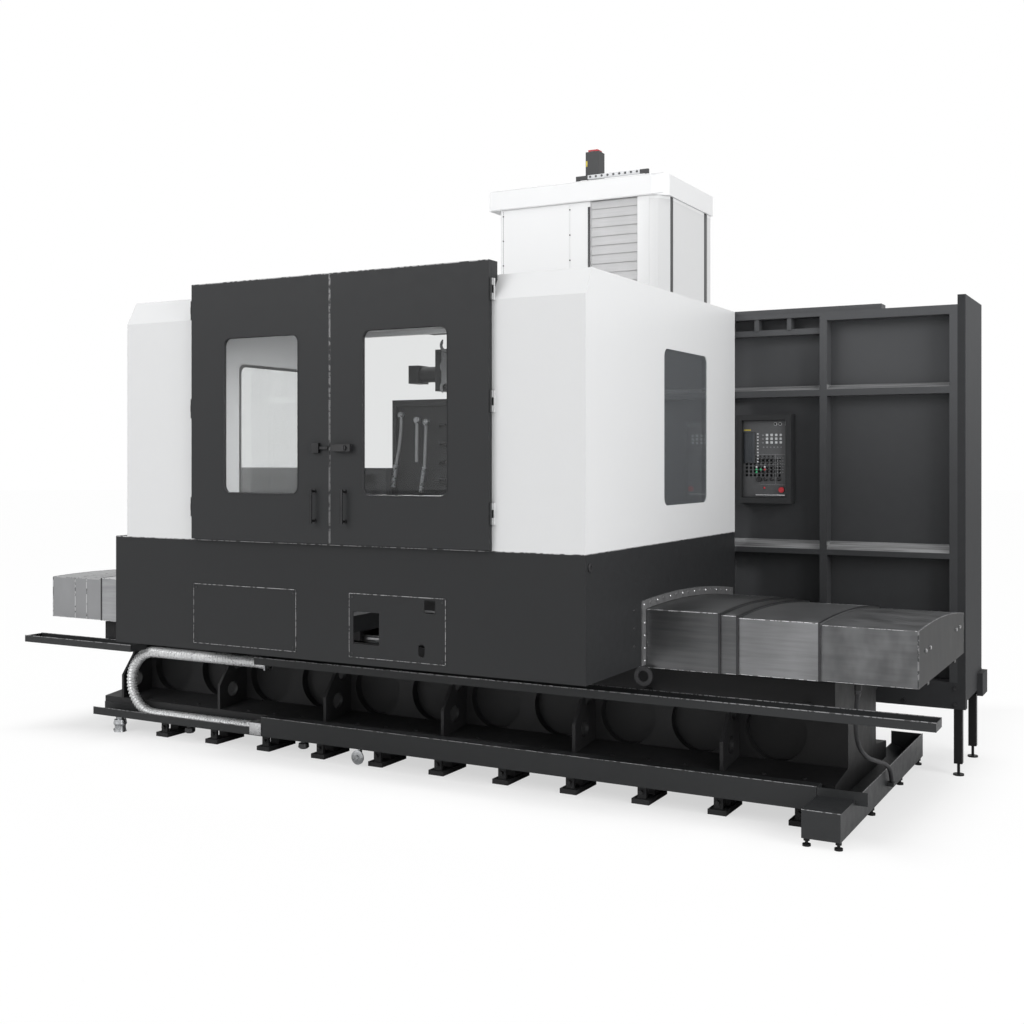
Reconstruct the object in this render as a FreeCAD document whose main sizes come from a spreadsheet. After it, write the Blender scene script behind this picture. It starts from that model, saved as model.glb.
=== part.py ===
import FreeCAD, Part
import Sketcher
import math
import os
import re

# Horizontal boring and milling machining centre: a long X bed in front, on which the saddle,
# its dark skirt, the white enclosure and the rotary table travel together, and a bed at right
# angles behind it, on which the column with its side-hung headstock comes forward.
# Millimetres. X runs along the long bed, Y away from the operator, Z up from the floor.
# Every Y size below is counted from the front face of the skirt, which lies at y = front.

SIZES = [
    # name, value, what it is
    ("front", -3500, "frame Y of the skirt's front face, so that the machine stands centred"),
    # moving skirt and white enclosure
    ("skirt_half", 1990, "half length of the skirt"),
    ("skirt_strip", 133, "skirt behind the cover opening"),
    ("skirt_depth", "=cover_back + skirt_strip", "skirt, front face to back face"),
    ("skirt_bottom", 975, "height of the skirt's lower edge"),
    ("skirt_top", 1785, "height of the skirt's upper edge"),
    ("sheet", 6, "folded sheet steel"),
    ("ledge", 90, "flange turned in at the top of the skirt"),
    ("shell_left", 1872, "left side of the enclosure, from the middle"),
    ("shell_right", 1990, "right side of the enclosure, from the middle"),
    ("bevel_low", 3400, "height where the front bevel starts"),
    ("bevel_back", 93, "how far the bevel leans back"),
    ("roof_top", 3572, "height of the enclosure roof"),
    ("side_window_front", 1298, "front edge of a side window"),
    ("side_window_back", 2175, "back edge of a side window"),
    ("side_window_low", 2045, "lower edge of a side window"),
    ("side_window_high", 3160, "upper edge of a side window"),
    ("window_corner", 60, "corner radius of a window"),
    ("glass", 8, "thickness of a window pane"),
    ("glass_lap", 25, "how far a side pane laps over its opening"),
    # front doors
    ("door_left", 1187, "left edge of the left door, left of the middle"),
    ("door_split", 67, "meeting line of the doors, right of the middle"),
    ("door_right", 1325, "right edge of the right door"),
    ("door_bottom", 1792, "lower edge of the doors"),
    ("door_top", 3653, "upper edge of the doors"),
    ("door_proud", 40, "door face in front of the skirt face"),
    ("door_thick", 30, "thickness of a door leaf"),
    ("door_gap", 4, "running gap between the leaves"),
    ("frame_depth", 113, "door frame, from behind the doors to its back"),
    ("frame_width", 46, "width of the door frame's members"),
    ("frame_clear", 2, "gap between a closed door and its frame"),
    ("pane_width", 670, "visible width of a door window"),
    ("pane_low", 2130, "lower edge of the door windows"),
    ("pane_high", 3248, "upper edge of the door windows"),
    ("pane_edge", 275, "door window to the meeting line"),
    ("pin_radius", 5, "hinge pin"),
    ("knuckle_radius", 9, "hinge knuckle"),
    ("knuckle_length", 50, "length of one knuckle"),
    ("hinge_low", 2000, "height of the lowest hinge"),
    ("hinge_pitch", 720, "height from hinge to hinge"),
    ("grip_radius", 11, "door handle bar"),
    ("grip_low", 1932, "lower end of a handle"),
    ("grip_high", 2171, "upper end of a handle"),
    ("grip_offset", 129, "handle to the meeting line"),
    ("grip_stand", 44, "handle bar in front of the door face"),
    ("latch_height", 2452, "height of the door interlock"),
    # service panels in the skirt front
    ("panel_low", 1019, "lower edge of the service panels"),
    ("panel_high", 1463, "upper edge of the service panels"),
    ("hatch_left", 1206, "left edge of the left hatch, left of the middle"),
    ("hatch_right", 250, "right edge of the left hatch, left of the middle"),
    ("access_left", 199, "left edge of the access panel"),
    ("access_right", 981, "right edge of the access panel"),
    ("panel_gap", 3, "gap round a service panel"),
    # X bed
    ("bed_half", 3250, "half length of the X bed"),
    ("bed_bottom", 150, "height of the bed's under side"),
    ("flange_top", 270, "top of the bed's foot flange"),
    ("bed_front", 1090, "front of the bed"),
    ("bed_back", 2590, "back of the bed"),
    ("web_front", 1430, "front of the bed's box"),
    ("web_back", 2250, "back of the bed's box"),
    ("deck_bottom", 760, "under side of the bed's deck"),
    ("bed_top", 930, "top of the bed's deck"),
    ("bay", 552, "spacing of the levelling mounts"),
    ("core_radius", 215, "round recess in each bay of the bed's side"),
    ("core_depth", 70, "depth of that recess"),
    ("rail_width", 63, "width of a guide rail"),
    ("rail_height", 55, "height of a guide rail"),
    ("rail_front", 1190, "centre of the front X rail"),
    ("rail_back", 2460, "centre of the back X rail"),
    ("rail_gap", 1, "running clearance of shoe and nut"),
    ("screw_radius", 40, "radius of the feed screws"),
    ("screw_rise", 62, "feed screw centre above its bed"),
    # rear bed
    ("rear_left", 1250, "left side of the rear bed, left of the middle"),
    ("rear_right", 450, "right side of the rear bed"),
    ("rear_end", 7095, "back end of the rear bed"),
    ("rear_top", 880, "top of the rear bed"),
    ("rear_rail_start", 3255, "front end of the rear rails"),
    ("rear_rail_left", 1050, "left rear rail, left of the middle"),
    ("rear_rail_right", 250, "right rear rail"),
    # levelling mounts
    ("pad_width", 130, "width of a mount plate"),
    ("pad_length", 340, "length of a mount plate"),
    ("pad_thick", 35, "thickness of a mount plate"),
    ("pad_front", 996, "front edge of the front mount plates"),
    # cable tray, upper trough and end trough
    ("tray_left", 3250, "left end of the cable tray"),
    ("tray_open", 1361, "where the open part of the tray ends, left of the middle"),
    ("tray_right", 3165, "right end of the cable tray"),
    ("tray_front", 950, "front face of the tray"),
    ("tray_bottom", 130, "under side of the tray"),
    ("tray_lip", 192, "front lip of the open tray"),
    ("tray_back_lip", 221, "back lip of the open tray"),
    ("tray_top", 284, "top of the closed tray"),
    ("trough_half", 3930, "half length of the upper trough"),
    ("trough_front", 790, "front face of the upper trough"),
    ("trough_depth", 187, "width of the upper trough"),
    ("trough_bottom", 740, "under side of the upper trough"),
    ("trough_top", 795, "rim of the upper trough"),
    ("trough_gap_left", 2640, "left edge of the gap left for the hose"),
    ("trough_gap_right", 1300, "right edge of that gap, left of the middle"),
    ("thin", 4, "light sheet"),
    ("rib", 25, "thickness of a bed bracket"),
    ("end_left", 3169, "inner side of the end trough"),
    ("end_right", 3410, "outer side of the end trough"),
    ("end_front", 588, "front of the end trough"),
    ("end_back", 3150, "back of the end trough"),
    ("end_bottom", 55, "under side of the end trough"),
    ("end_top", 229, "rim of the end trough"),
    # conduit hose
    ("hose_radius", 46, "outer radius of the conduit hose"),
    ("hose_root", 41, "radius between the ribs"),
    ("hose_bore", 37, "inner radius of the conduit hose"),
    ("hose_ribs", 110, "ribs along the conduit hose"),
    ("drain_radius", 15, "radius of the drain hose"),
    ("hose_y", 1020, "plane of the hose loop"),
    ("hose_low", 181, "centre height of the lower run"),
    ("hose_high", 713, "centre height of the upper run"),
    ("hose_bend", 2590, "centre of the hose bend, left of the middle"),
    ("hose_end", 1361, "end of both runs, left of the middle"),
    # telescopic covers
    ("cover_front", 947, "front face of the second cover box"),
    ("cover_back", 2700, "back face of the second cover box"),
    ("cover_bottom", 954, "lower edge of the covers"),
    ("cover_crest_y", 1427, "where the arched top is highest"),
    ("cover_crest", 1364, "highest point of the second cover box"),
    ("cover_arch", 10271, "radius of the arched top"),
    ("cover_step", 14, "size step from one cover box to the next"),
    ("cover_end", 3792, "outer end of the last box"),
    ("seam_a", 2525, "outer edge of the first moving box"),
    ("seam_b", 2644, "outer edge of the second moving box"),
    ("seam_c", 3184, "outer edge of the third moving box"),
    ("box_a", 1052, "length of the first moving box"),
    ("box_b", 560, "length of the second moving box"),
    ("box_c", 1090, "length of the third moving box"),
    ("box_d", 1216, "length of the fixed box"),
    ("wiper", 12, "width of the wiper strip at a box edge"),
    ("seal_width", 62, "height of the riveted seal frame over the cover"),
    # saddle and rotary table
    ("saddle_half", 1045, "half length of the saddle"),
    ("saddle_front", 1110, "front of the saddle"),
    ("saddle_back", 2540, "back of the saddle"),
    ("saddle_under", 1060, "under side of the saddle casting"),
    ("saddle_top", 1390, "top of the saddle"),
    ("table_y", 1824, "centre of the rotary table"),
    ("table_side", 1400, "side of the square rotary table"),
    ("table_corner", 130, "corner chamfer of the table"),
    ("table_top", 1560, "height of the table face"),
    ("table_gap", 0.3, "running gap under the table, round the sleeve and round the spindle"),
    ("slot_neck", 22, "neck of a T slot"),
    ("slot_pitch", 160, "spacing of the T slots"),
    # column with its housing
    ("col_left", 1330, "left side of the column housing, left of the middle"),
    ("col_right", 556, "right side of the column housing"),
    ("col_front", 4883, "front of the column housing"),
    ("col_depth", 1370, "depth of the column housing"),
    ("corner_wide", 156, "rounded right front corner of the housing, across"),
    ("corner_deep", 162, "that corner, front to back"),
    ("corner_fold", 76, "its fold, from the right side"),
    ("corner_rise", 29, "its fold, behind the front face"),
    ("side_plate", 244, "front edge of the side plate behind the front face"),
    ("side_plate_long", 913, "side plate, front to back"),
    ("col_low", 1180, "lower edge of the housing"),
    ("col_high", 5058, "upper edge of the housing"),
    ("cap_top", 5273, "top of the cap"),
    ("cap_over", 131, "how far the cap stands out on the left"),
    ("cap_lip", 20, "how far it stands out elsewhere"),
    ("cap_bevel", 150, "cut right front corner of the cap, across"),
    ("cap_bevel_deep", 119, "that corner, front to back"),
    ("slot_half", 264, "half width of the headstock opening"),
    ("motor_x", 387, "vertical drive motor, left of the middle"),
    ("motor_y", 5265, "vertical drive motor, from the skirt face"),
    ("motor_side", 152, "width of the motor"),
    ("motor_low", 5400, "under side of the motor"),
    ("motor_high", 5655, "top of the motor"),
    ("bar_y", 5165, "centre of the cable bar on the cap"),
    ("bar_low", 5354, "under side of the cable bar"),
    ("bar_high", 5396, "top of the cable bar"),
    ("bar_left", 560, "left end of the cable bar, left of the middle"),
    ("bar_right", 273, "right end of the cable bar"),
    ("ram_half", 225, "half width of the headstock"),
    ("ram_low", 235, "headstock below the spindle axis"),
    ("ram_high", 280, "headstock above the spindle axis"),
    ("nose_y", 3983, "front face of the headstock"),
    ("ram_back", 5900, "back of the headstock"),
    ("spindle_z", 2400, "height of the spindle axis at rest"),
    ("sleeve_radius", 110, "milling sleeve"),
    ("spindle_radius", 65, "boring spindle"),
    # fixed back wall on its platforms
    ("wall_gap", 12, "running gap between the skirt and the wall"),
    ("wall_y", "=skirt_depth + wall_gap", "front of the wall posts"),
    ("wall_deep", 130, "depth of the wall posts"),
    ("post", 110, "width of a wall post"),
    ("wall_top", 3535, "top of the right wall"),
    ("high_beam", 2872, "under side of the wall's upper beam"),
    ("low_beam", 1624, "under side of the wall's lower beam"),
    ("top_light", 3366, "under side of the beam below the header"),
    ("low_top", 2289, "top of the low left wall"),
    ("floor_top", 699, "top of the platforms"),
    ("floor_low", 500, "under side of the platform frame"),
    ("floor_back", 3640, "back edge of the platforms"),
    ("wall_end", 3776, "outer face of the end wall"),
    ("end_wall_thick", 58, "thickness of the end wall"),
    ("end_wall_back", 3623, "back edge of the end wall"),
    ("end_wall_top", 3608, "top of the end wall"),
    ("console_left", 1999, "left side of the operator panel"),
    ("console_right", 2449, "right side of the operator panel"),
    ("console_low", 2019, "lower edge of the operator panel"),
    ("console_high", 2733, "upper edge of the operator panel"),
    ("key", 20, "side of a panel key"),
    ("key_pitch", 30, "spacing of the panel keys"),
    # tool changer behind the wall opening
    ("bay_left", 1440, "left side of the tool changer box"),
    ("bay_right", 770, "right side of the tool changer box, left of the middle"),
    ("bay_behind", 115, "tool changer box behind the front of the wall"),
    ("bay_front", "=wall_y + bay_behind", "front of the tool changer box"),
    ("bay_deep", 285, "depth of the tool changer box"),
    ("bay_back", "=bay_front + bay_deep", "back of the tool changer box"),
    ("bay_top", 2933, "top of the tool changer box"),
    ("disc_x", 2250, "magazine axis, left of the middle"),
    ("disc_z", 1500, "magazine axis height"),
    ("disc_radius", 620, "radius of the magazine disc"),
    ("pots", 20, "tool pots on the magazine"),
    ("arm_reach", 262, "half length of the change arm"),
    ("arm_x", 860, "axis of the change arm, left of the middle"),
    ("arm_z", 3240, "height of the change arm axis"),
]

VALUE = {name: value for name, value, note in SIZES}
NAMES = re.compile(r"\b(" + "|".join(VALUE) + r")\b")

doc = FreeCAD.newDocument("MachiningCentre")
sheet = doc.addObject("Spreadsheet::Sheet", "Sizes")
for row, (name, value, note) in enumerate(SIZES, start=1):
    sheet.set(f"A{row}", name)
    sheet.set(f"B{row}", str(value))
    sheet.set(f"C{row}", note)
    sheet.setAlias(f"B{row}", name)
doc.recompute()

nodes = {}


def formula(text):
    """Turn a formula in size names into one that reads the sheet."""
    return NAMES.sub(r"Sizes.\1", str(text))


def number(text):
    """Work a formula out with the sheet's present values."""
    return float(sheet.evalExpression(formula(text)))


def place(thing, x="0", y="0", z="0"):
    """Put an object at x, y, z; y is counted from the skirt's front face."""
    thing.setExpression("Placement.Base.x", formula(x))
    thing.setExpression("Placement.Base.y", formula(f"front + ({y})"))
    thing.setExpression("Placement.Base.z", formula(z))
    return thing


def block(x, y, z, dx, dy, dz):
    """A box from its lowest corner and its three sides."""
    thing = doc.addObject("Part::Box", "Block")
    thing.setExpression("Length", formula(dx))
    thing.setExpression("Width", formula(dy))
    thing.setExpression("Height", formula(dz))
    return place(thing, x, y, z)


def span(x0, x1, y0, y1, z0, z1):
    """A box between two corners."""
    return block(x0, y0, z0, f"({x1}) - ({x0})", f"({y1}) - ({y0})", f"({z1}) - ({z0})")


TURN = {
    "x": FreeCAD.Rotation(FreeCAD.Vector(0, 1, 0), 90),
    "y": FreeCAD.Rotation(FreeCAD.Vector(1, 0, 0), -90),
    "z": FreeCAD.Rotation(),
}


def rod(axis, x, y, z, radius, length):
    """A round bar that starts at x, y, z and runs along the named axis."""
    thing = doc.addObject("Part::Cylinder", "Rod")
    thing.Placement = FreeCAD.Placement(FreeCAD.Vector(), TURN[axis])
    thing.setExpression("Radius", formula(radius))
    thing.setExpression("Height", formula(length))
    return place(thing, x, y, z)


def taper(axis, x, y, z, radius, tip, length):
    """A cone frustum that starts at x, y, z and runs along the named axis."""
    thing = doc.addObject("Part::Cone", "Taper")
    thing.Placement = FreeCAD.Placement(FreeCAD.Vector(), TURN[axis])
    thing.setExpression("Radius1", formula(radius))
    thing.setExpression("Radius2", formula(tip))
    thing.setExpression("Height", formula(length))
    return place(thing, x, y, z)


def join(*things):
    """One solid out of several."""
    thing = doc.addObject("Part::MultiFuse", "Joined")
    thing.Shapes = list(things)
    thing.Refine = True
    return thing


def group(*things):
    """Several separate solids kept as one sub-part."""
    thing = doc.addObject("Part::Compound", "Group")
    thing.Links = list(things)
    return thing


def cut(base, *tools):
    """A solid with other solids taken away."""
    thing = doc.addObject("Part::Cut", "Cut")
    thing.Base = base
    thing.Tool = tools[0] if len(tools) == 1 else group(*tools)
    thing.Refine = True
    return thing


def common(one, other):
    """What two solids share."""
    thing = doc.addObject("Part::Common", "Common")
    thing.Base = one
    thing.Tool = other
    return thing


def plane_of(body, role):
    for feature in body.Origin.OriginFeatures:
        if feature.Role == role:
            return feature
    raise ValueError(role)


PLANE = {"yz": "YZ_Plane", "xz": "XZ_Plane", "xy": "XY_Plane"}


def outline(sketch, points):
    """Closed straight-sided outline whose corners are bound to the sheet."""
    first = sketch.GeometryCount
    count = len(points)
    values = [(number(u), number(v)) for u, v in points]
    for i in range(count):
        a = FreeCAD.Vector(*values[i], 0)
        b = FreeCAD.Vector(*values[(i + 1) % count], 0)
        sketch.addGeometry(Part.LineSegment(a, b), False)
    for i in range(count):
        after = first + (i + 1) % count
        sketch.addConstraint(Sketcher.Constraint("Coincident", first + i, 2, after, 1))
    for i, (u, v) in enumerate(points):
        for kind, text, here in (("DistanceX", u, values[i][0]), ("DistanceY", v, values[i][1])):
            at = sketch.addConstraint(Sketcher.Constraint(kind, -1, 1, first + i, 1, here))
            sketch.setExpression(f"Constraints[{at}]", formula(text))


def hole(sketch, u, v, radius):
    """Round opening in a sketch."""
    centre = FreeCAD.Vector(number(u), number(v), 0)
    circle = Part.Circle(centre, FreeCAD.Vector(0, 0, 1), number(radius))
    at = sketch.addGeometry(circle, False)
    bounds = [
        (Sketcher.Constraint("Radius", at, number(radius)), radius),
        (Sketcher.Constraint("DistanceX", -1, 1, at, 3, centre.x), u),
        (Sketcher.Constraint("DistanceY", -1, 1, at, 3, centre.y), v),
    ]
    for constraint, text in bounds:
        index = sketch.addConstraint(constraint)
        sketch.setExpression(f"Constraints[{index}]", formula(text))


def pad(plane, points, start, length, holes=()):
    """Plate or bar of a drawn section; start is its place along the plane's normal.

    yz sections run to +X, xy sections to +Z and xz sections to -Y.
    """
    body = doc.addObject("PartDesign::Body", "Body")
    sketch = body.newObject("Sketcher::SketchObject", "Section")
    sketch.AttachmentSupport = [(plane_of(body, PLANE[plane]), "")]
    sketch.MapMode = "FlatFace"
    outline(sketch, points)
    for u, v, radius in holes:
        hole(sketch, u, v, radius)
    feature = body.newObject("PartDesign::Pad", "Pad")
    feature.Profile = sketch
    feature.setExpression("Length", formula(length))
    body.Tip = feature
    where = {"yz": (start, "0", "0"), "xz": ("0", start, "0"), "xy": ("0", "0", start)}[plane]
    return place(body, *where)


def slab(x0, x1, z0, z1, y0, y1, corner, axis="y"):
    """Round-cornered window block: two crossed boxes and four corner rods."""
    if axis == "y":
        parts = [
            span(f"({x0}) + ({corner})", f"({x1}) - ({corner})", y0, y1, z0, z1),
            span(x0, x1, y0, y1, f"({z0}) + ({corner})", f"({z1}) - ({corner})"),
        ]
        for x in (f"({x0}) + ({corner})", f"({x1}) - ({corner})"):
            for z in (f"({z0}) + ({corner})", f"({z1}) - ({corner})"):
                parts.append(rod("y", x, y0, z, corner, f"({y1}) - ({y0})"))
    else:
        parts = [
            span(y0, y1, f"({x0}) + ({corner})", f"({x1}) - ({corner})", z0, z1),
            span(y0, y1, x0, x1, f"({z0}) + ({corner})", f"({z1}) - ({corner})"),
        ]
        for x in (f"({x0}) + ({corner})", f"({x1}) - ({corner})"):
            for z in (f"({z0}) + ({corner})", f"({z1}) - ({corner})"):
                parts.append(rod("x", y0, x, z, corner, f"({y1}) - ({y0})"))
    return join(*parts)


def node(name, thing):
    """Name a finished sub-part."""
    thing.Label = name
    nodes[name] = thing
    return thing


# ---------------------------------------------------------------- X bed and its equipment

def make_x_bed():
    """Box casting on a foot flange, with a wide deck for the rails and a round recess in each bay."""
    section = [
        ("bed_front", "bed_bottom"),
        ("bed_back", "bed_bottom"),
        ("bed_back", "flange_top"),
        ("web_back", "flange_top + 40"),
        ("web_back", "deck_bottom - 60"),
        ("bed_back", "deck_bottom"),
        ("bed_back", "bed_top"),
        ("bed_front", "bed_top"),
        ("bed_front", "deck_bottom"),
        ("web_front", "deck_bottom - 60"),
        ("web_front", "flange_top + 40"),
        ("bed_front", "flange_top"),
    ]
    casting = pad("yz", section, "-bed_half", "2 * bed_half")
    height = "(flange_top + deck_bottom) / 2"
    recesses = [
        rod("y", f"{i} * bay", "web_front", height, "core_radius", "core_depth") for i in range(-5, 6)
    ]
    return cut(casting, *recesses)


def make_z_bed():
    """Bed at right angles behind the X bed; its top carries the column rails."""
    section = [
        ("-rear_left", "bed_bottom"),
        ("rear_right", "bed_bottom"),
        ("rear_right", "flange_top"),
        ("rear_right - 140", "flange_top + 60"),
        ("rear_right - 140", "rear_top - 200"),
        ("rear_right", "rear_top - 120"),
        ("rear_right", "rear_top"),
        ("-rear_left", "rear_top"),
        ("-rear_left", "rear_top - 120"),
        ("140 - rear_left", "rear_top - 200"),
        ("140 - rear_left", "flange_top + 60"),
        ("-rear_left", "flange_top"),
    ]
    return pad("xz", section, "rear_end", "rear_end - bed_back")


def rail_section(centre, base):
    """Guide rail with undercut sides, as four-row roller rails have."""
    half = "rail_width / 2"
    return [
        (f"{centre} - {half}", f"{base}"),
        (f"{centre} + {half}", f"{base}"),
        (f"{centre} + {half} - 9", f"{base} + 20"),
        (f"{centre} + {half} - 9", f"{base} + rail_height - 20"),
        (f"{centre} + {half}", f"{base} + rail_height - 12"),
        (f"{centre} + {half} - 4", f"{base} + rail_height"),
        (f"{centre} - {half} + 4", f"{base} + rail_height"),
        (f"{centre} - {half}", f"{base} + rail_height - 12"),
        (f"{centre} - {half} + 9", f"{base} + rail_height - 20"),
        (f"{centre} - {half} + 9", f"{base} + 20"),
    ]


def make_guide_rails():
    """Two rails along the X bed and two along the rear bed."""
    rails = []
    for centre in ("rail_front", "rail_back"):
        rails.append(pad("yz", rail_section(centre, "bed_top"), "50 - bed_half", "2 * bed_half - 100"))
    for centre in ("(-rear_rail_left)", "rear_rail_right"):
        section = rail_section(centre, "rear_top")
        rails.append(pad("xz", section, "rear_end - 40", "rear_end - 40 - rear_rail_start"))
    return group(*rails)


def screw_with_bearings(axis, across, low, high, base):
    """Feed screw held in a bearing block at each end."""
    rise = f"{base} + screw_rise"
    pieces = []
    if axis == "x":
        pieces.append(rod("x", f"{low} + 10", across, rise, "screw_radius", f"{high} - ({low}) - 20"))
        for end in (low, f"{high} - 130"):
            pieces.append(span(end, f"{end} + 130", f"{across} - 110", f"{across} + 110", base,
                               f"{base} + 108"))
    else:
        pieces.append(rod("y", across, f"{low} + 10", rise, "screw_radius", f"{high} - ({low}) - 20"))
        for end in (low, f"{high} - 130"):
            pieces.append(span(f"{across} - 110", f"{across} + 110", end, f"{end} + 130", base,
                               f"{base} + 108"))
    return join(*pieces)


def make_ball_screws():
    """X feed screw on the deck and Y feed screw on the rear bed."""
    along = screw_with_bearings("x", "table_y", "(40 - bed_half)", "(bed_half - 40)", "bed_top")
    back = screw_with_bearings("y", REAR_MIDDLE, "rear_rail_start", "(rear_end - 40)", "rear_top")
    return group(along, back)


REAR_MIDDLE = "((rear_rail_right - rear_rail_left) / 2)"


def mount_x(x, y, way):
    """Wedge mount whose plate runs front to back; its jack screw stands at the outer end."""
    plate = span(f"{x} - pad_width / 2", f"{x} + pad_width / 2", y, f"{y} + pad_length", "0", "pad_thick")
    inner = f"{y} + 150" if way == "front" else f"{y} + 30"
    wedge = span(f"{x} - 45", f"{x} + 45", inner, f"{inner} + 160", "pad_thick", "bed_bottom")
    screw_y = f"{y} + 42" if way == "front" else f"{y} + pad_length - 42"
    lug = span(f"{x} - 32", f"{x} + 32", f"{screw_y} - 12", f"{screw_y} + 12", "pad_thick",
               "pad_thick + 78")
    screw = rod("y", x, f"{screw_y} - 34", "pad_thick + 44", "13", "68")
    return join(plate, wedge, lug, screw)


def mount_y(x, y, way):
    """The same mount turned for the sides of the rear bed."""
    plate = span(x, f"{x} + pad_length", f"{y} - pad_width / 2", f"{y} + pad_width / 2", "0", "pad_thick")
    inner = f"{x} + 150" if way == "left" else f"{x} + 30"
    wedge = span(inner, f"{inner} + 160", f"{y} - 45", f"{y} + 45", "pad_thick", "bed_bottom")
    return join(plate, wedge)


def make_machine_mounts():
    """Levelling mounts under the flanges of both beds."""
    mounts = []
    for i in range(11):
        x = f"({i - 5} * bay + bay / 2)"
        mounts.append(mount_x(x, "pad_front", "front"))
    for i in range(12):
        x = f"({i - 6} * bay + bay / 2)"
        mounts.append(mount_x(x, "(bed_back + 94 - pad_length)", "back"))
    for i in range(6):
        y = f"(bed_back + 330 + {i} * 780)"
        mounts.append(mount_y("(-rear_left - 94)", y, "left"))
        mounts.append(mount_y("(rear_right + 94 - pad_length)", y, "right"))
    return group(*mounts)


def make_trough_brackets():
    """Bed brackets: slanted plates with two round holes, one every second bay."""
    section = [
        ("bed_front", "flange_top"),
        ("web_front", "flange_top + 40"),
        ("web_front", "deck_bottom - 60"),
        ("bed_front + 150", "deck_bottom - 27"),
        ("bed_front + 128", "deck_bottom - 120"),
        ("bed_front", "deck_bottom - 290"),
    ]
    holes = [
        ("bed_front + 222", "deck_bottom - 130", "50"),
        ("bed_front + 160", "flange_top + 150", "62"),
    ]
    plates = []
    for i in range(6):
        start = f"({2 * i - 5}) * bay - bay / 2 - rib / 2"
        plates.append(pad("yz", section, start, "rib", holes))
    return group(*plates)


def make_cable_tray():
    """Tray along the foot of the bed: open where the hose lies, closed further right."""
    back = "bed_front"
    floor = span("-tray_left", "-tray_open", "tray_front", back, "tray_bottom", "tray_bottom + thin")
    lip = span("-tray_left", "-tray_open", "tray_front", "tray_front + sheet", "tray_bottom", "tray_lip")
    rear = span("-tray_left", "-tray_open", f"{back} - sheet", back, "tray_bottom", "tray_back_lip")
    section = [
        ("tray_front", "tray_bottom"),
        (back, "tray_bottom"),
        (back, "flange_top"),
        (f"{back} - 30", "tray_top"),
        ("tray_front", "tray_top"),
    ]
    closed = pad("yz", section, "-tray_open", "tray_open + tray_right")
    return join(floor, lip, rear, closed)


def gutter(x0, x1):
    """Channel of thin sheet, open at the top and closed at its ends."""
    y0, y1 = "trough_front", "(trough_front + trough_depth)"
    outer = span(x0, x1, y0, y1, "trough_bottom", "trough_top")
    inner = span(f"{x0} + thin", f"{x1} - thin", f"{y0} + thin", f"{y1} - thin", "trough_bottom + thin",
                 "trough_top + 1")
    return cut(outer, inner)


def make_coolant_trough():
    """Upper trough in two lengths, on arms from the bed's deck; the gap is where the hose runs."""
    low = "(deck_bottom + 8)"
    pieces = [gutter("-trough_half", "-trough_gap_left"), gutter("-trough_gap_right", "trough_half")]
    solids = []
    arms = {0: (-3200, -3000), 1: (828, 1932, 3040)}
    for which, gutter_piece in enumerate(pieces):
        bars = [
            span(f"{x}", f"{x} + 60", "trough_front + trough_depth", "bed_front", low, f"{low} + 20")
            for x in arms[which]
        ]
        solids.append(join(gutter_piece, *bars))
    return group(*solids)


def make_end_trough():
    """Trough across the right end of the bed: a closed nose, then an open channel with a sloped lining."""
    nose = span("end_left", "end_right", "end_front", "tray_front", "end_bottom", "end_top")
    splash = span("end_left", "bed_half + 240", "tray_front", "tray_front + sheet", "end_top - 30",
                  "tray_top")
    floor = span("end_left", "end_right", "tray_front", "end_back", "end_bottom", "end_bottom + sheet")
    outer = span("end_right - sheet", "end_right", "tray_front", "end_back", "end_bottom", "end_top")
    back = span("end_left", "end_right", "end_back - sheet", "end_back", "end_bottom", "end_top")
    lining = [
        ("end_left", "end_bottom"),
        ("end_left + 170", "end_bottom"),
        ("end_left + 170", "end_bottom + sheet"),
        ("end_left + sheet", "bed_bottom - 16"),
        ("end_left", "bed_bottom - 16"),
    ]
    slope = pad("xz", lining, "end_back - sheet", "end_back - sheet - tray_front - sheet")
    gland = span("end_right", "end_right + 50", "1850", "1905", "end_bottom + 60", "end_bottom + 85")
    return join(nose, splash, floor, outer, back, slope, gland)


def leg(x, y, top):
    """Square tube leg with a threaded foot."""
    tube = span(f"{x} - 30", f"{x} + 30", f"{y} - 30", f"{y} + 30", "90", top)
    rodded = rod("z", x, y, "8", "11", "90")
    foot = rod("z", x, y, "0", "40", "12")
    return join(tube, rodded, foot)


def stud(x, y, top, radius):
    """Threaded levelling foot."""
    foot = rod("z", x, y, "0", radius, "14")
    bar = rod("z", x, y, "10", "10", f"{top} - 10")
    nut = rod("z", x, y, f"{top} - 22", "19", "22")
    return join(foot, bar, nut)


def make_levelling_legs():
    """Platform legs, feet of the end trough and the round foot under the tray's left end."""
    legs = []
    for x in ("3719", "2500", "1300"):
        legs.append(leg(x, "2890", "floor_low"))
        legs.append(leg(x, "floor_back - 80", "floor_low"))
    for x in ("-3719", "-2900", "-1700"):
        legs.append(leg(x, "2890", "floor_low"))
        legs.append(leg(x, "floor_back - 80", "floor_low"))
    for y in ("630", "1500", "2400", "3080"):
        legs.append(stud("end_right - 22", y, "end_bottom", "26"))
        legs.append(stud("end_left + 22", y, "end_bottom", "26"))
    legs.append(stud("-tray_left + 240", "1010", "tray_bottom", "40"))
    return group(*legs)


# ---------------------------------------------------------------- conduit hose and drain hose

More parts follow.
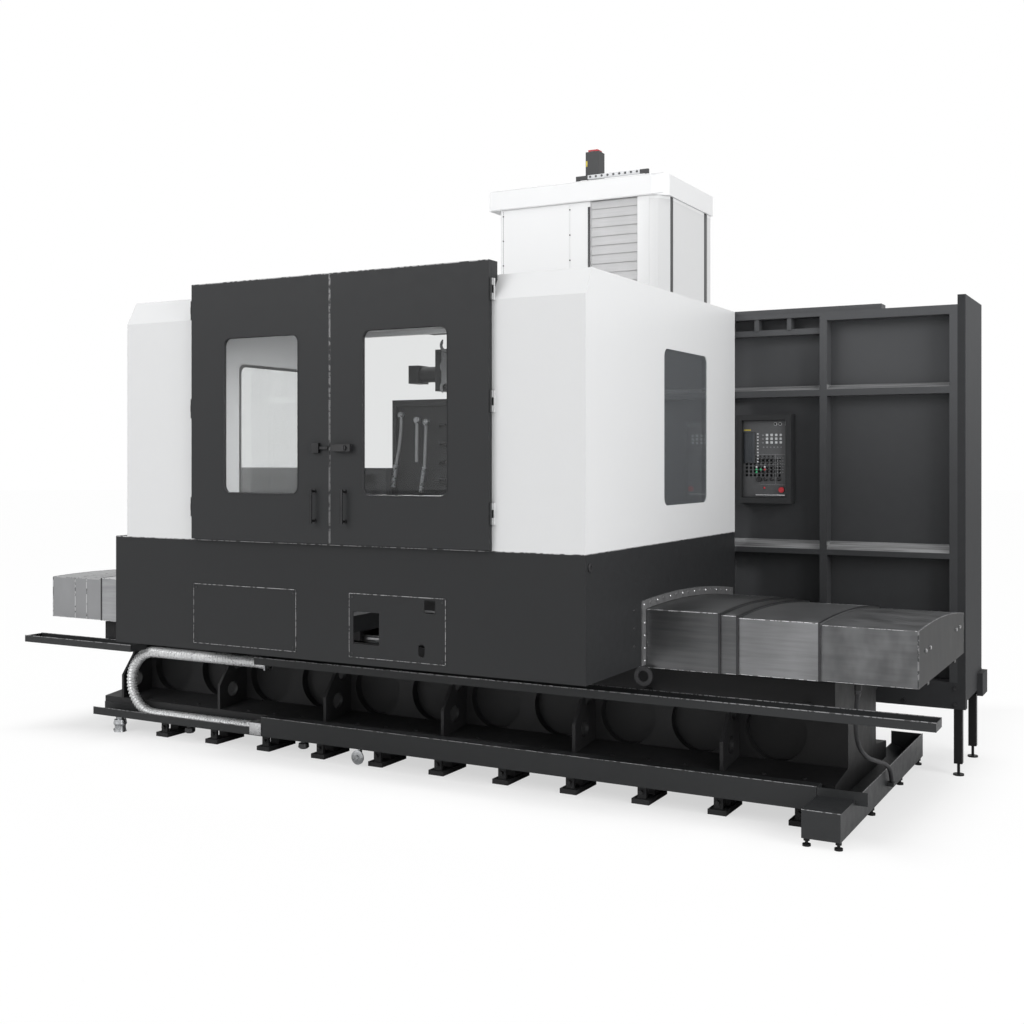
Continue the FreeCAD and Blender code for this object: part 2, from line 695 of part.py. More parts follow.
def hose_station(run):
    """Point and direction of the conduit's centre line after a given length."""
    low, high, y = number("hose_low"), number("hose_high"), number("front + hose_y")
    reach = (high - low) / 2
    straight = number("hose_bend - hose_end")
    curve = math.pi * reach
    start, bend = -number("hose_end"), -number("hose_bend")
    if run <= straight:
        return FreeCAD.Vector(start - run, y, low), FreeCAD.Vector(-1, 0, 0)
    if run <= straight + curve:
        angle = (run - straight) / reach
        point = FreeCAD.Vector(bend - reach * math.sin(angle), y, low + reach - reach * math.cos(angle))
        return point, FreeCAD.Vector(-math.cos(angle), 0, math.sin(angle))
    return FreeCAD.Vector(bend + run - straight - curve, y, high), FreeCAD.Vector(1, 0, 0)


def hose_ring(run, radius):
    """Circle square to the centre line, always started from the same side."""
    point, along = hose_station(run)
    circle = Part.Circle(point, along, radius)
    circle.XAxis = FreeCAD.Vector(0, 1, 0)
    return Part.Wire([circle.toShape()])


def make_conduit_hose():
    """Ribbed metal conduit in a U: lower run in the tray, bend, upper run to the skirt's bracket."""
    outer, root, bore = number("hose_radius"), number("hose_root"), number("hose_bore")
    straight = number("hose_bend - hose_end")
    whole = 2 * straight + math.pi * number("hose_high - hose_low") / 2
    plain = 2 * outer
    ribs = int(number("hose_ribs"))
    pitch = (whole - 2 * plain) / ribs
    rings = [hose_ring(0, root)]
    for i in range(ribs):
        start = plain + i * pitch
        for share, radius in ((0.0, root), (0.25, outer), (0.6, outer), (0.85, root)):
            rings.append(hose_ring(start + share * pitch, radius))
    rings.append(hose_ring(whole, root))
    body = Part.makeLoft(rings, True, True)
    runs = [0, straight] + [straight + (whole - 2 * straight) * i / 8 for i in range(1, 8)]
    runs += [whole - straight, whole]
    core = Part.makeLoft([hose_ring(run, bore) for run in runs], True, True)
    thing = doc.addObject("Part::Feature", "Hose")
    thing.Shape = body.cut(core)
    return thing


def make_hose_bracket():
    """Angle that carries the hose's moving end; it runs under the covers to the saddle's front."""
    end = "(2 - hose_end)"
    half = "(hose_radius + 8)"
    face = span(end, f"{end} + 10", "hose_y - 40", f"hose_y + {half}", f"hose_high - {half}",
                "bed_top - 170")
    post = span(end, f"{end} + 10", "hose_y - 16", "hose_y + 50", "bed_top - 180", "skirt_bottom + 105")
    arm = span(end, "100 - saddle_half", "hose_y + 20", "hose_y + 50", "skirt_bottom + 35",
               "skirt_bottom + 105")
    foot = span("10 - saddle_half", "100 - saddle_half", "hose_y + 50", "saddle_front",
                "skirt_bottom + 35", "skirt_bottom + 135")
    return join(face, post, arm, foot)


def cord_path(points):
    """Straight runs joined by tangent arcs as large as the runs allow."""
    edges = []
    last = points[0]
    for before, corner, after in zip(points, points[1:], points[2:]):
        towards = (before - corner).normalize()
        onward = (after - corner).normalize()
        half_turn = (math.pi - towards.getAngle(onward)) / 2
        reach = 0.45 * min((before - corner).Length, (after - corner).Length)
        radius = reach / math.tan(half_turn)
        print(f"cord radius {radius:.0f}, turn {math.degrees(2 * half_turn):.0f} degrees")
        enter = corner + towards * reach
        leave = corner + onward * reach
        middle = (towards + onward).normalize()
        top = corner + middle * (math.hypot(radius, reach) - radius)
        edges.append(Part.LineSegment(last, enter).toShape())
        edges.append(Part.Arc(enter, top, leave).toShape())
        last = leave
    edges.append(Part.LineSegment(last, points[-1]).toShape())
    return Part.Wire(edges)


DRAIN_ROUTE = [
    (3405, 1052, 905),
    (3396, 1044, 800),
    (3390, 1046, 670),
    (3396, 1090, 540),
    (3414, 1240, 440),
    (3430, 1460, 372),
    (3440, 1680, 310),
    (3446, 1830, 235),
    (3440, 1877, 140),
]


def make_drain_hose():
    """Black drain hose from the cover end down to the end trough's side."""
    points = [FreeCAD.Vector(x, number(f"front + {y}"), z) for x, y, z in DRAIN_ROUTE]
    path = cord_path(points)
    start = (points[1] - points[0]).normalize()
    ring = Part.Wire([Part.makeCircle(number("drain_radius"), points[0], start)])
    thing = doc.addObject("Part::Feature", "Drain")
    thing.Shape = path.makePipeShell([ring], True, False)
    expected = math.pi * number("drain_radius") ** 2 * path.Length
    print(f"drain hose volume {thing.Shape.Volume:.0f}, section times length {expected:.0f}")
    return thing


# ---------------------------------------------------------------- saddle, skirt and covers

def arched(x0, x1, inset, foot):
    """Block under the covers' arched top, drawn in by inset on every side."""
    front = f"(cover_front + {inset})"
    back = f"(cover_back - {inset})"
    block_ = span(x0, x1, front, back, foot, "cover_crest + 100")
    drum = rod("x", x0, "cover_crest_y", "cover_crest - cover_arch", f"cover_arch - {inset}",
               f"({x1}) - ({x0})")
    return common(block_, drum)


def cover_box(x0, x1, size, side):
    """Open sheet box with an arched top; a wiper lip lines its outer edge."""
    inset = f"({size} * cover_step)"
    shell = arched(x0, x1, inset, "cover_bottom")
    if side > 0:
        main = arched(f"({x0}) - 1", f"({x1}) - wiper", f"({inset} + thin)", "cover_bottom - 1")
    else:
        main = arched(f"({x0}) + wiper", f"({x1}) + 1", f"({inset} + thin)", "cover_bottom - 1")
    mouth = arched(f"({x0}) - 1", f"({x1}) + 1", f"({inset} + cover_step - 1)", "cover_bottom - 1")
    return cut(shell, main, mouth)


def side_span(side, inner, outer):
    """Ends of a box between two distances from the middle, on the right or the left."""
    if side > 0:
        return inner, outer
    return f"-({outer})", f"-({inner})"


def make_cover(side, letter, size):
    x0, x1 = side_span(side, f"seam_{letter} - box_{letter}", f"seam_{letter}")
    return cover_box(x0, x1, size, side)


def make_saddle_covers():
    """Inner boxes, one at each end of the saddle, under the skirt."""
    boxes = []
    for side in (1, -1):
        x0, x1 = side_span(side, "saddle_half", "skirt_half - 44")
        boxes.append(cover_box(x0, x1, -1, side))
    return group(*boxes)


def make_end_covers():
    """Fixed end boxes, each with a bolted end plate and two arms to the bed's deck."""
    ends = []
    for side in (1, -1):
        x0, x1 = side_span(side, "cover_end - box_d", "cover_end")
        inset = "(3 * cover_step)"
        shell = arched(x0, x1, inset, "cover_bottom")
        a0, a1 = side_span(side, "cover_end - box_d - 1", "cover_end - sheet")
        pieces = [cut(shell, arched(a0, a1, f"({inset} + thin)", "cover_bottom - 1"))]
        b0, b1 = side_span(side, "bed_half - 170", "cover_end - sheet")
        for y in ("1300", "2300"):
            pieces.append(span(b0, b1, y, f"{y} + 60", "bed_top", "bed_top + 60"))
        t0, t1 = side_span(side, "bed_half + 10", "cover_end - sheet")
        pieces.append(span(t0, t1, "cover_front + 45", "cover_back - 45", "cover_bottom",
                           "cover_bottom + sheet"))
        if side > 0:
            pieces.append(rod("z", "3405", "1052", "905", "24", "cover_bottom - 904"))
        c0, c1 = side_span(side, "cover_end", "cover_end + 7")
        for y in ("cover_front + 240", "cover_front + 390", "cover_back - 390", "cover_back - 240"):
            pieces.append(rod("x", c0, y, "cover_crest - 195", "11", f"({c1}) - ({c0})"))
        ends.append(join(*pieces))
    return group(*ends)


def make_saddle():
    """Saddle casting with rail shoes, feed nut and the round seat of the rotary table."""
    casting = span("-saddle_half", "saddle_half", "saddle_front", "saddle_back", "saddle_under",
                   "saddle_top - 30")
    seat = rod("z", "0", "table_y", "saddle_top - 31", "640", "31")
    pieces = [casting, seat]
    for y in ("rail_front", "rail_back"):
        for x in ("-860", "-180", "500"):
            pieces.append(span(x, f"{x} + 360", f"{y} - 75", f"{y} + 75", "bed_top + 14",
                               "saddle_under + 1"))
    pieces.append(span("-150", "150", "table_y - 95", "table_y + 95", "bed_top + 8", "saddle_under + 1"))
    tools = [rod("x", "-151", "table_y", "bed_top + screw_rise", "screw_radius + rail_gap", "302")]
    for y in ("rail_front", "rail_back"):
        half = "(rail_width / 2 + rail_gap)"
        tools.append(span("-861", "861", f"{y} - {half}", f"{y} + {half}", "bed_top",
                          "bed_top + rail_height + rail_gap"))
    return cut(join(*pieces), *tools)


def make_rotary_table():
    """Square table with cut corners, nine T slots and a round base."""
    half = "table_side / 2"
    c = "table_corner"
    points = [
        (f"-{half}", f"-({half} - {c})"),
        (f"{c} - {half}", f"-{half}"),
        (f"{half} - {c}", f"-{half}"),
        (f"{half}", f"-({half} - {c})"),
        (f"{half}", f"{half} - {c}"),
        (f"{half} - {c}", f"{half}"),
        (f"{c} - {half}", f"{half}"),
        (f"-{half}", f"{half} - {c}"),
    ]
    plate = pad("xy", points, "table_top - 125", "125")
    place(plate, "0", "table_y", "table_top - 125")
    base = rod("z", "0", "table_y", "saddle_top + table_gap", "600",
               "table_top - 120 - saddle_top - table_gap")
    slots = []
    for i in range(-4, 5):
        y = f"(table_y + {i} * slot_pitch)"
        slots.append(span("-900", "900", f"{y} - slot_neck / 2", f"{y} + slot_neck / 2", "table_top - 36",
                          "table_top + 1"))
        slots.append(span("-900", "900", f"{y} - 19", f"{y} + 19", "table_top - 38", "table_top - 22"))
    centre = rod("z", "0", "table_y", "table_top - 60", "40", "61")
    return cut(join(plate, base), centre, *slots)


def make_skirt():
    """Dark sheet skirt with an inward ledge, held off the saddle by a frame of square beams."""
    outer = span("-skirt_half", "skirt_half", "0", "skirt_depth", "skirt_bottom", "skirt_top")
    inner = span("sheet - skirt_half", "skirt_half - sheet", "sheet", "skirt_depth - sheet",
                 "skirt_bottom - 1", "skirt_top - sheet")
    mouth = span("ledge - skirt_half", "skirt_half - ledge", "ledge", "skirt_depth - sheet",
                 "skirt_top - sheet - 1", "skirt_top + 1")
    back = span("sheet - skirt_half", "skirt_half - sheet", "skirt_depth - ledge", "skirt_depth + 1",
                "skirt_bottom + 325", "skirt_top + 1")
    doors = [
        span("-hatch_left", "-hatch_right", "-1", "sheet + 1", "panel_low", "panel_high"),
        span("access_left", "access_right", "-1", "sheet + 1", "panel_low", "panel_high"),
    ]
    arch = arched("-skirt_half - 1", "skirt_half + 1", "(-3)", "skirt_bottom - 1")
    shell = cut(outer, inner, mouth, back, arch, *doors)
    pieces = [shell]
    for x0, x1 in (("-hatch_left", "-hatch_right"), ("access_left", "access_right")):
        ring = span(f"{x0} - 20", f"{x1} + 20", "sheet", "sheet + 6", "panel_low - 20", "panel_high + 20")
        gap = span(f"{x0} + 20", f"{x1} - 20", "sheet - 1", "sheet + 7", "panel_low + 20",
                   "panel_high - 20")
        pieces.append(cut(ring, gap))
    low, high = "skirt_bottom + 165", "skirt_bottom + 285"
    pieces.append(span("-1560", "1560", "700", "820", low, high))
    for x in ("-1560", "-90", "1440"):
        pieces.append(span(x, f"{x} + 120", "sheet", "700", low, high))
    for x in ("-900", "780"):
        pieces.append(span(x, f"{x} + 120", "820", "saddle_front", low, high))
        pieces.append(span(x, f"{x} + 120", "saddle_back", "skirt_depth - sheet", low, high))
    return join(*pieces)


def make_skirt_panels():
    """Lift-off service panels: plain hatch on the left, access panel with its openings on the right."""
    gap = "panel_gap"
    hatch = span(f"{gap} - hatch_left", f"-hatch_right - {gap}", "0", "sheet", f"panel_low + {gap}",
                 f"panel_high - {gap}")
    plate = span(f"access_left + {gap}", f"access_right - {gap}", "0", "sheet", f"panel_low + {gap}",
                 f"panel_high - {gap}")
    openings = [
        span("236", "450", "-1", "sheet + 1", "1113", "1335"),
        slab("810", "896", "1352", "1441", "-1", "sheet + 1", "10"),
        slab("763", "815", "1061", "1147", "-1", "sheet + 1", "24"),
    ]
    return group(hatch, cut(plate, *openings))


def make_cover_seals():
    """Riveted arched flange round the cover opening on each side, with its lower eye."""
    pieces = []
    for side in (1, -1):
        x0, x1 = side_span(side, "skirt_half", "skirt_half + 8")
        o0, o1 = side_span(side, "skirt_half - 1", "skirt_half + 9")
        band = cut(arched(x0, x1, "(-seal_width)", "skirt_bottom"), arched(o0, o1, "(-3)",
                "skirt_bottom - 1"))
        r0, r1 = side_span(side, "skirt_half + 8", "skirt_half + 12")
        rivets = []
        for i in range(16):
            y = f"(905 + {i} * 121)"
            away = f"({y} - cover_crest_y) ^ 2 / (2 * cover_arch)"
            rivets.append(rod("x", r0, y, f"cover_crest + 36 - {away}", "9", f"({r1}) - ({r0})"))
        for i in range(4):
            for y in ("(cover_front - 34)", "(cover_back + 34)"):
                rivets.append(rod("x", r0, y, f"skirt_bottom + 30 + {i} * 86", "9", f"({r1}) - ({r0})"))
        middle = f"{side} * (skirt_half + 12)"
        eye = rod("y", middle, "cover_front - 62", "skirt_bottom - 70", "67", "14")
        bore = rod("y", middle, "cover_front - 63", "skirt_bottom - 70", "38", "16")
        lug = span(x0, x1, "cover_front - 62", "cover_front - 30", "skirt_bottom - 20", "skirt_bottom + 20")
        pieces.append(join(band, cut(eye, bore), lug, *rivets))
    return group(*pieces)


# ---------------------------------------------------------------- enclosure and doors

def make_enclosure_side(side):
    """White side wall with its window, and the narrow strip beside the doors."""
    if side > 0:
        wall, strip0, strip1 = "shell_right - sheet", "door_right", "shell_right"
    else:
        wall, strip0, strip1 = "-shell_left", "-shell_left", "-door_left"
    section = [
        ("0", "skirt_top"),
        ("skirt_depth", "skirt_top"),
        ("skirt_depth", "roof_top"),
        ("bevel_back", "roof_top"),
        ("0", "bevel_low"),
    ]
    panel = pad("yz", section, wall, "sheet")
    opening = slab("side_window_front", "side_window_back", "side_window_low", "side_window_high",
                   f"{wall} - 1", f"{wall} + sheet + 1", "window_corner", "x")
    face = [
        ("0", "skirt_top"),
        ("sheet", "skirt_top"),
        ("sheet", "bevel_low - 2"),
        ("bevel_back + 4", "roof_top - sheet"),
        ("bevel_back + 4", "roof_top"),
        ("bevel_back", "roof_top"),
        ("0", "bevel_low"),
    ]
    strip = pad("yz", face, strip0, f"({strip1}) - ({strip0})")
    if side > 0:
        back = span("shell_right - 70", "shell_right", "skirt_depth - sheet", "skirt_depth",
                    "skirt_top", "roof_top - sheet")
    else:
        back = span("-shell_left", "70 - shell_left", "skirt_depth - sheet", "skirt_depth",
                    "skirt_top", "roof_top - sheet")
    return join(cut(panel, opening), strip, back)


def make_enclosure_roof():
    """Roof sheet between the side walls, with cross ribs under it and a tongue up to the door frame."""
    low = "roof_top - sheet"
    pieces = [
        span("sheet - shell_left", "shell_right - sheet", "bevel_back + 4", "skirt_depth", low, "roof_top"),
        span("-door_left", "door_right", "frame_depth - door_proud", "bevel_back + 4", low, "roof_top"),
    ]
    for y in ("700", "1350", "2000", "skirt_depth - 60"):
        pieces.append(span("sheet - shell_left", "shell_right - sheet", y, f"{y} + 50", "roof_top - 46",
                           low))
    return join(*pieces)


def make_side_windows():
    """Panes lapped over the side openings from inside."""
    lap = "glass_lap"
    panes = []
    for x0 in ("sheet - shell_left", "shell_right - sheet - glass"):
        panes.append(slab(f"side_window_front - {lap}", f"side_window_back + {lap}",
                          f"side_window_low - {lap}",
                          f"side_window_high + {lap}", x0, f"{x0} + glass", "window_corner", "x"))
    return group(*panes)


def make_door_frame():
    """Dark frame behind the doors, standing up past the roof."""
    back = "(frame_depth - door_proud)"
    face = "(frame_clear + door_thick - door_proud)"
    outer = span("-door_left", "door_right", face, back, "skirt_top", "door_top")
    inner = span("frame_width - door_left", "door_right - frame_width", f"{face} - 1", f"{back} + 1",
                 "skirt_top + frame_width", "door_top - frame_width")
    return cut(outer, inner)


def make_door(side):
    """Door leaf with its window opening and the turning knuckles of its hinges."""
    if side > 0:
        x0, x1 = "door_split + door_gap / 2", "door_right"
        w0 = "door_split + pane_edge"
        pin = "(door_right + 8)"
    else:
        x0, x1 = "-door_left", "door_split - door_gap / 2"
        w0 = "door_split - pane_edge - pane_width"
        pin = "(-door_left - 8)"
    leaf = span(x0, x1, "-door_proud", "door_thick - door_proud", "door_bottom", "door_top")
    opening = slab(w0, f"{w0} + pane_width", "pane_low", "pane_high", "-door_proud - 1",
                   "door_thick - door_proud + 1", "window_corner")
    pieces = [cut(leaf, opening)]
    bores = []
    for i in range(3):
        z = f"hinge_low + {i} * hinge_pitch"
        pieces.append(rod("z", pin, "-door_thick", z, "knuckle_radius", "knuckle_length"))
        bores.append(rod("z", pin, "-door_thick", f"{z} - 1", "pin_radius + 0.3", "knuckle_length + 2"))
    return cut(join(*pieces), *bores)


def make_door_window(side):
    """Pane that fills the door's opening."""
    w0 = "door_split + pane_edge" if side > 0 else "door_split - pane_edge - pane_width"
    return slab(w0, f"{w0} + pane_width", "pane_low", "pane_high", "-door_proud + 12",
                "-door_proud + 12 + glass", "window_corner")


def grip(x):
    """Straight bar on two stand-offs."""
    y = "(-door_proud - grip_stand)"
    pieces = [rod("z", x, y, "grip_low", "grip_radius", "grip_high - grip_low")]
    for z in ("grip_low + 18", "grip_high - 18"):
        pieces.append(rod("y", x, y, z, "grip_radius - 2", "grip_stand"))
        pieces.append(rod("y", x, "-door_proud - 5", z, "grip_radius + 6", "5"))
    return join(*pieces)


def make_left_handle():
    """Grip of the left door with the actuator of the door interlock above it."""
    boss = span("door_split - 140", "door_split - 80", "-door_proud - 24", "-door_proud",
                "latch_height - 34", "latch_height + 34")
    bar = span("door_split - 100", "door_split - 8", "-door_proud - 16", "-door_proud - 4",
               "latch_height - 9", "latch_height + 9")
    return group(grip("door_split - grip_offset"), join(boss, bar))


def make_interlock_switch():
    """Interlock switch on the right door with the slot for the actuator and the knob's collar."""
    body = span("door_split + 70", "door_split + 196", "-door_proud - 38", "-door_proud",
                "latch_height - 24", "latch_height + 24")
    head = span("door_split + 36", "door_split + 70", "-door_proud - 30", "-door_proud",
                "latch_height - 20", "latch_height + 20")
    slot = span("door_split + 35", "door_split + 60", "-door_proud - 18", "-door_proud - 2",
                "latch_height - 11", "latch_height + 11")
    collar = rod("y", "door_split + 150", "-door_proud - 41", "latch_height", "14", "3")
    return join(cut(join(body, head), slot), collar)


def make_release_knob():
    """Turning release knob with a raised wing."""
    disc = rod("y", "door_split + 150", "-door_proud - 50", "latch_height", "17", "8.7")
    wing = span("door_split + 146", "door_split + 154", "-door_proud - 54", "-door_proud - 50",
                "latch_height - 16", "latch_height + 16")
    return join(disc, wing)


def make_door_hinges():
    """Fixed halves of the six hinges: knuckles above and below each door knuckle, pin and plate."""
    halves = []
    for side, pin in ((-1, "(-door_left - 8)"), (1, "(door_right + 8)")):
        for i in range(3):
            z = f"(hinge_low + {i} * hinge_pitch)"
            pieces = [rod("z", pin, "-door_thick", f"{z} - 45", "pin_radius", "knuckle_length + 90")]
            web0, web1 = (f"{pin} - 9", pin) if side < 0 else (pin, f"{pin} + 9")
            plate0, plate1 = (f"{pin} - 16", pin) if side < 0 else (pin, f"{pin} + 16")
            pieces.append(span(plate0, plate1, "-8", "0", f"{z} - 45", f"{z} + knuckle_length + 45"))
            for low in (f"{z} - 45", f"{z} + knuckle_length + 1"):
                pieces.append(rod("z", pin, "-door_thick", low, "knuckle_radius - 1.5", "44"))
                pieces.append(span(web0, web1, "-door_thick", "-8", low, f"{low} + 44"))
            halves.append(join(*pieces))
    return group(*halves)


# ---------------------------------------------------------------- column, headstock and spindle

def make_column():
    """Column on its base slide; shoes below, vertical rails, feed screw and its bearings on the side."""
    base = span("-1300", "500", "4850", "6350", "rear_top + 110", "col_low")
    tower = span("-1250", "-480", "4950", "col_front + col_depth - 20", "col_low", "col_high - 8")
    pieces = [base, tower]
    for x in ("-rear_rail_left", "rear_rail_right"):
        for y in ("4900", "5960"):
            pieces.append(span(f"{x} - 75", f"{x} + 75", y, f"{y} + 340", "rear_top + 14",
                               "rear_top + 111"))
    nut_x = REAR_MIDDLE
    pieces.append(span(f"{nut_x} - 95", f"{nut_x} + 95", "5450", "5750", "rear_top + 8", "rear_top + 111"))
    for y in ("5080", "5940"):
        pieces.append(span("-481", "rail_height - 480", f"{y} - rail_width / 2", f"{y} + rail_width / 2",
                           "col_low + 20", "col_high - 60"))
    pieces.append(rod("z", "-motor_x", "motor_y", "col_low + 10", "screw_radius",
                      "col_high - col_low - 20"))
    for z in ("col_low", "col_high - 108"):
        pieces.append(span("-481", "-330", "motor_y - 70", "motor_y + 70", z, f"{z} + 100"))
    tools = [rod("y", nut_x, "5449", "rear_top + screw_rise", "screw_radius + rail_gap", "302")]
    half = "(rail_width / 2 + rail_gap)"
    for x in ("-rear_rail_left", "rear_rail_right"):
        tools.append(span(f"{x} - {half}", f"{x} + {half}", "4849", "6351", "rear_top",
                          "rear_top + rail_height + rail_gap"))
    return cut(join(*pieces), *tools)


def make_column_housing():
    """Sheet housing of the column: cut front corner, headstock opening and raised front panels."""
    def ring(inset):
        back = f"(col_front + col_depth - {inset})"
        return [
            (f"{inset} - col_left", f"col_front + {inset}"),
            (f"col_right - corner_wide - {inset} / 5", f"col_front + {inset}"),
            (f"col_right - corner_fold - {inset} * 0.6", f"col_front + corner_rise + {inset} * 0.8"),
            (f"col_right - {inset}", f"col_front + corner_deep + {inset} / 4"),
            (f"col_right - {inset}", back),
            (f"{inset} - col_left", back),
        ]
    outer = pad("xy", ring("0"), "col_low", "col_high - col_low")
    inner = pad("xy", ring("sheet"), "col_low - 1", "col_high - col_low + 2")
    front = span("-slot_half", "slot_half", "col_front - 1", "col_front + 20", "col_low - 1",
                 "col_high + 1")
    shell = cut(outer, inner, front)
    pieces = [shell]
    plates = [("-1316", "-503"), ("-495", "-slot_half - 4"), ("slot_half + 4",
                                                              "col_right - corner_wide - 2")]
    for x0, x1 in plates:
        pieces.append(span(x0, x1, "col_front - 4", "col_front", "col_low + 12", "col_high - 12"))
    pieces.append(span("col_right", "col_right + 4", "col_front + side_plate",
                       "col_front + side_plate + side_plate_long", "col_low + 60", "col_high - 8"))
    for x in ("-slot_half - 30", "slot_half"):
        pieces.append(span(x, f"{x} + 30", "col_front + sheet", "col_front + 90", "col_low", "col_high"))
    return join(*pieces)


def make_column_cap():
    """Boxed cap that stands out over the housing."""
    def ring(inset):
        front = f"(col_front - cap_lip + {inset})"
        back = f"(col_front + col_depth + cap_lip - {inset})"
        left = f"({inset} - col_left - cap_over)"
        right = f"(col_right + cap_lip - {inset})"
        return [
            (left, front),
            (f"{right} - cap_bevel + {inset} / 2", front),
            (right, f"{front} + cap_bevel_deep - {inset} / 2"),
            (right, back),
            (left, back),
        ]
    outer = pad("xy", ring("0"), "col_high", "cap_top - col_high")
    inner = pad("xy", ring("sheet"), "col_high + sheet", "cap_top - col_high - 2 * sheet")
    mouth = span("130 - col_left", "col_right - cap_bevel", "col_front + 110",
                 "col_front + col_depth - 110", "col_high - 1", "col_high + 10")
    return cut(outer, inner, mouth)


def make_column_motor():
    """Vertical feed motor on its flange and coupling case, and the rail on the cap."""
    x, y, half = "-motor_x", "motor_y", "motor_side / 2"
    pieces = [
        span(f"{x} - {half} - 15", f"{x} + {half} + 15", f"{y} - {half} - 15", f"{y} + {half} + 15",
             "cap_top", "cap_top + 24"),
        span(f"{x} - {half} + 10", f"{x} + {half} - 10", f"{y} - {half} + 10", f"{y} + {half} - 10",
             "cap_top + 24", "motor_low - 16"),
        span(f"{x} - {half}", f"{x} + {half}", f"{y} - {half}", f"{y} + {half}", "motor_low - 16",
             "motor_high"),
        span(f"{x} - 55", f"{x} + 55", f"{y} - 55", f"{y} + 55", "motor_high", "motor_high + 25"),
        span(f"{x} - 30", f"{x} + 30", f"{y} + {half}", f"{y} + {half} + 50", "motor_high - 95",
             "motor_high - 25"),
    ]
    bar = [span("-bar_left", "bar_right", "bar_y - 15", "bar_y + 15", "bar_low", "bar_high")]
    for x0, x1 in (("-bar_left", "40 - bar_left"), ("bar_right - 40", "bar_right")):
        bar.append(span(x0, x1, "bar_y - 15", "bar_y + 15", "cap_top", "bar_high"))
    return group(join(*pieces), join(*bar))


def make_way_cover(low, high, count):
    """Slatted cover of the headstock opening: overlapping slats on a backing sheet."""
    y = "(col_front + sheet + 2)"
    pitch = f"(({high}) - ({low})) / {count}"
    pieces = [span("-slot_half", "slot_half", f"{y} + 6", f"{y} + 10", low, high)]
    for i in range(count):
        z = f"({low}) + {i} * {pitch}"
        pieces.append(span("4 - slot_half", "slot_half - 4", y, f"{y} + 6", f"{z} + 8", f"{z} + {pitch}"))
    return join(*pieces)


def make_headstock():
    """Side-hung headstock: long box with a stepped nose, carriage, rail shoes and feed nut."""
    low, high = "(spindle_z - ram_low)", "(spindle_z + ram_high)"
    box = span("-ram_half", "ram_half", "nose_y + 40", "ram_back", low, high)
    nose = span("30 - ram_half", "ram_half - 30", "nose_y", "nose_y + 41", f"{low} + 30", f"{high} - 60")
    collar = rod("y", "0", "nose_y - 24", "spindle_z", "175", "26")
    carriage = span("-345", "1 - ram_half", "4990", "6030", low, high)
    pieces = [box, nose, collar, carriage]
    for y in ("5080", "5940"):
        pieces.append(span("-468", "-344", f"{y} - 78", f"{y} + 78", f"{low} + 20", f"{high} - 20"))
    pieces.append(span("-452", "-344", "motor_y - 78", "motor_y + 78", f"{low} + 120", f"{high} - 160"))
    tools = [
        rod("y", "0", "nose_y - 25", "spindle_z", "sleeve_radius + table_gap", "526"),
        rod("y", "0", "nose_y + 480", "spindle_z", "spindle_radius + 4", "1300"),
        rod("z", "-motor_x", "motor_y", low, "screw_radius + rail_gap", "ram_low + ram_high"),
    ]
    half = "(rail_width / 2 + rail_gap)"
    for y in ("5080", "5940"):
        tools.append(span("-481", "rail_gap - 425", f"{y} - {half}", f"{y} + {half}", low, high))
    return cut(join(*pieces), *tools)


def make_spindle_sleeve():
    """Milling sleeve with its face flange and two drive keys, bored for the boring spindle."""
    tube = rod("y", "0", "nose_y - 60", "spindle_z", "sleeve_radius", "500")
    flange = rod("y", "0", "nose_y - 60", "spindle_z", "150", "34")
    pieces = [tube, flange]
    for z in ("spindle_z - 118", "spindle_z + 86"):
        pieces.append(span("-14", "14", "nose_y - 72", "nose_y - 59", z, f"{z} + 32"))
    for i in range(8):
        angle = 22.5 + 45 * i
        x = f"130 * cos({angle}deg)"
        z = f"spindle_z + 130 * sin({angle}deg)"
        pieces.append(rod("y", x, "nose_y - 66", z, "9", "7"))
    bore = rod("y", "0", "nose_y - 61", "spindle_z", "spindle_radius + table_gap", "502")
    return cut(join(*pieces), bore)


def make_boring_spindle():
    """Boring spindle with its taper socket."""
    bar = rod("y", "0", "nose_y - 76", "spindle_z", "spindle_radius", "1700")
    socket = taper("y", "0", "nose_y - 77", "spindle_z", "35", "20", "110")
    return cut(bar, socket)


# ---------------------------------------------------------------- platforms and back wall

def make_rear_platform():
    """Two platforms at the bed's back: edge beams, cross beams, floor plate and a side box."""
    solids = []
    for x0, x1, count in (("620", "wall_end", 5), ("-wall_end", "-1400", 4)):
        pieces = [span(x0, x1, "wall_y", "floor_back", "floor_top - sheet", "floor_top")]
        for y in ("wall_y", "floor_back - 80"):
            pieces.append(span(x0, x1, y, f"{y} + 80", "floor_low", "floor_top - sheet"))
        for i in range(count + 1):
            x = f"({x0}) + {i} * (({x1}) - ({x0}) - 80) / {count}"
            pieces.append(span(x, f"{x} + 80", "wall_y + 80", "floor_back - 80", "floor_low + 60",
                               "floor_top - sheet"))
        solids.append(pieces)
    solids[0].append(span("wall_end", "wall_end + 41", "3400", "floor_back", "floor_low + 17",
                          "floor_top - sheet"))
    solids[1].append(span("-wall_end - 41", "-wall_end", "3400", "floor_back", "floor_low + 17",
                          "floor_top - sheet"))
    return group(*[join(*pieces) for pieces in solids])


def rail_beam(x0, x1, low, high, lift):
    """Wall beam whose top slopes up towards the back."""
    section = [
        ("wall_y", low),
        ("wall_y + wall_deep", low),
        ("wall_y + wall_deep", f"{high} + {lift}"),
        ("wall_y", high),
    ]
    return pad("yz", section, x0, f"({x1}) - ({x0})")


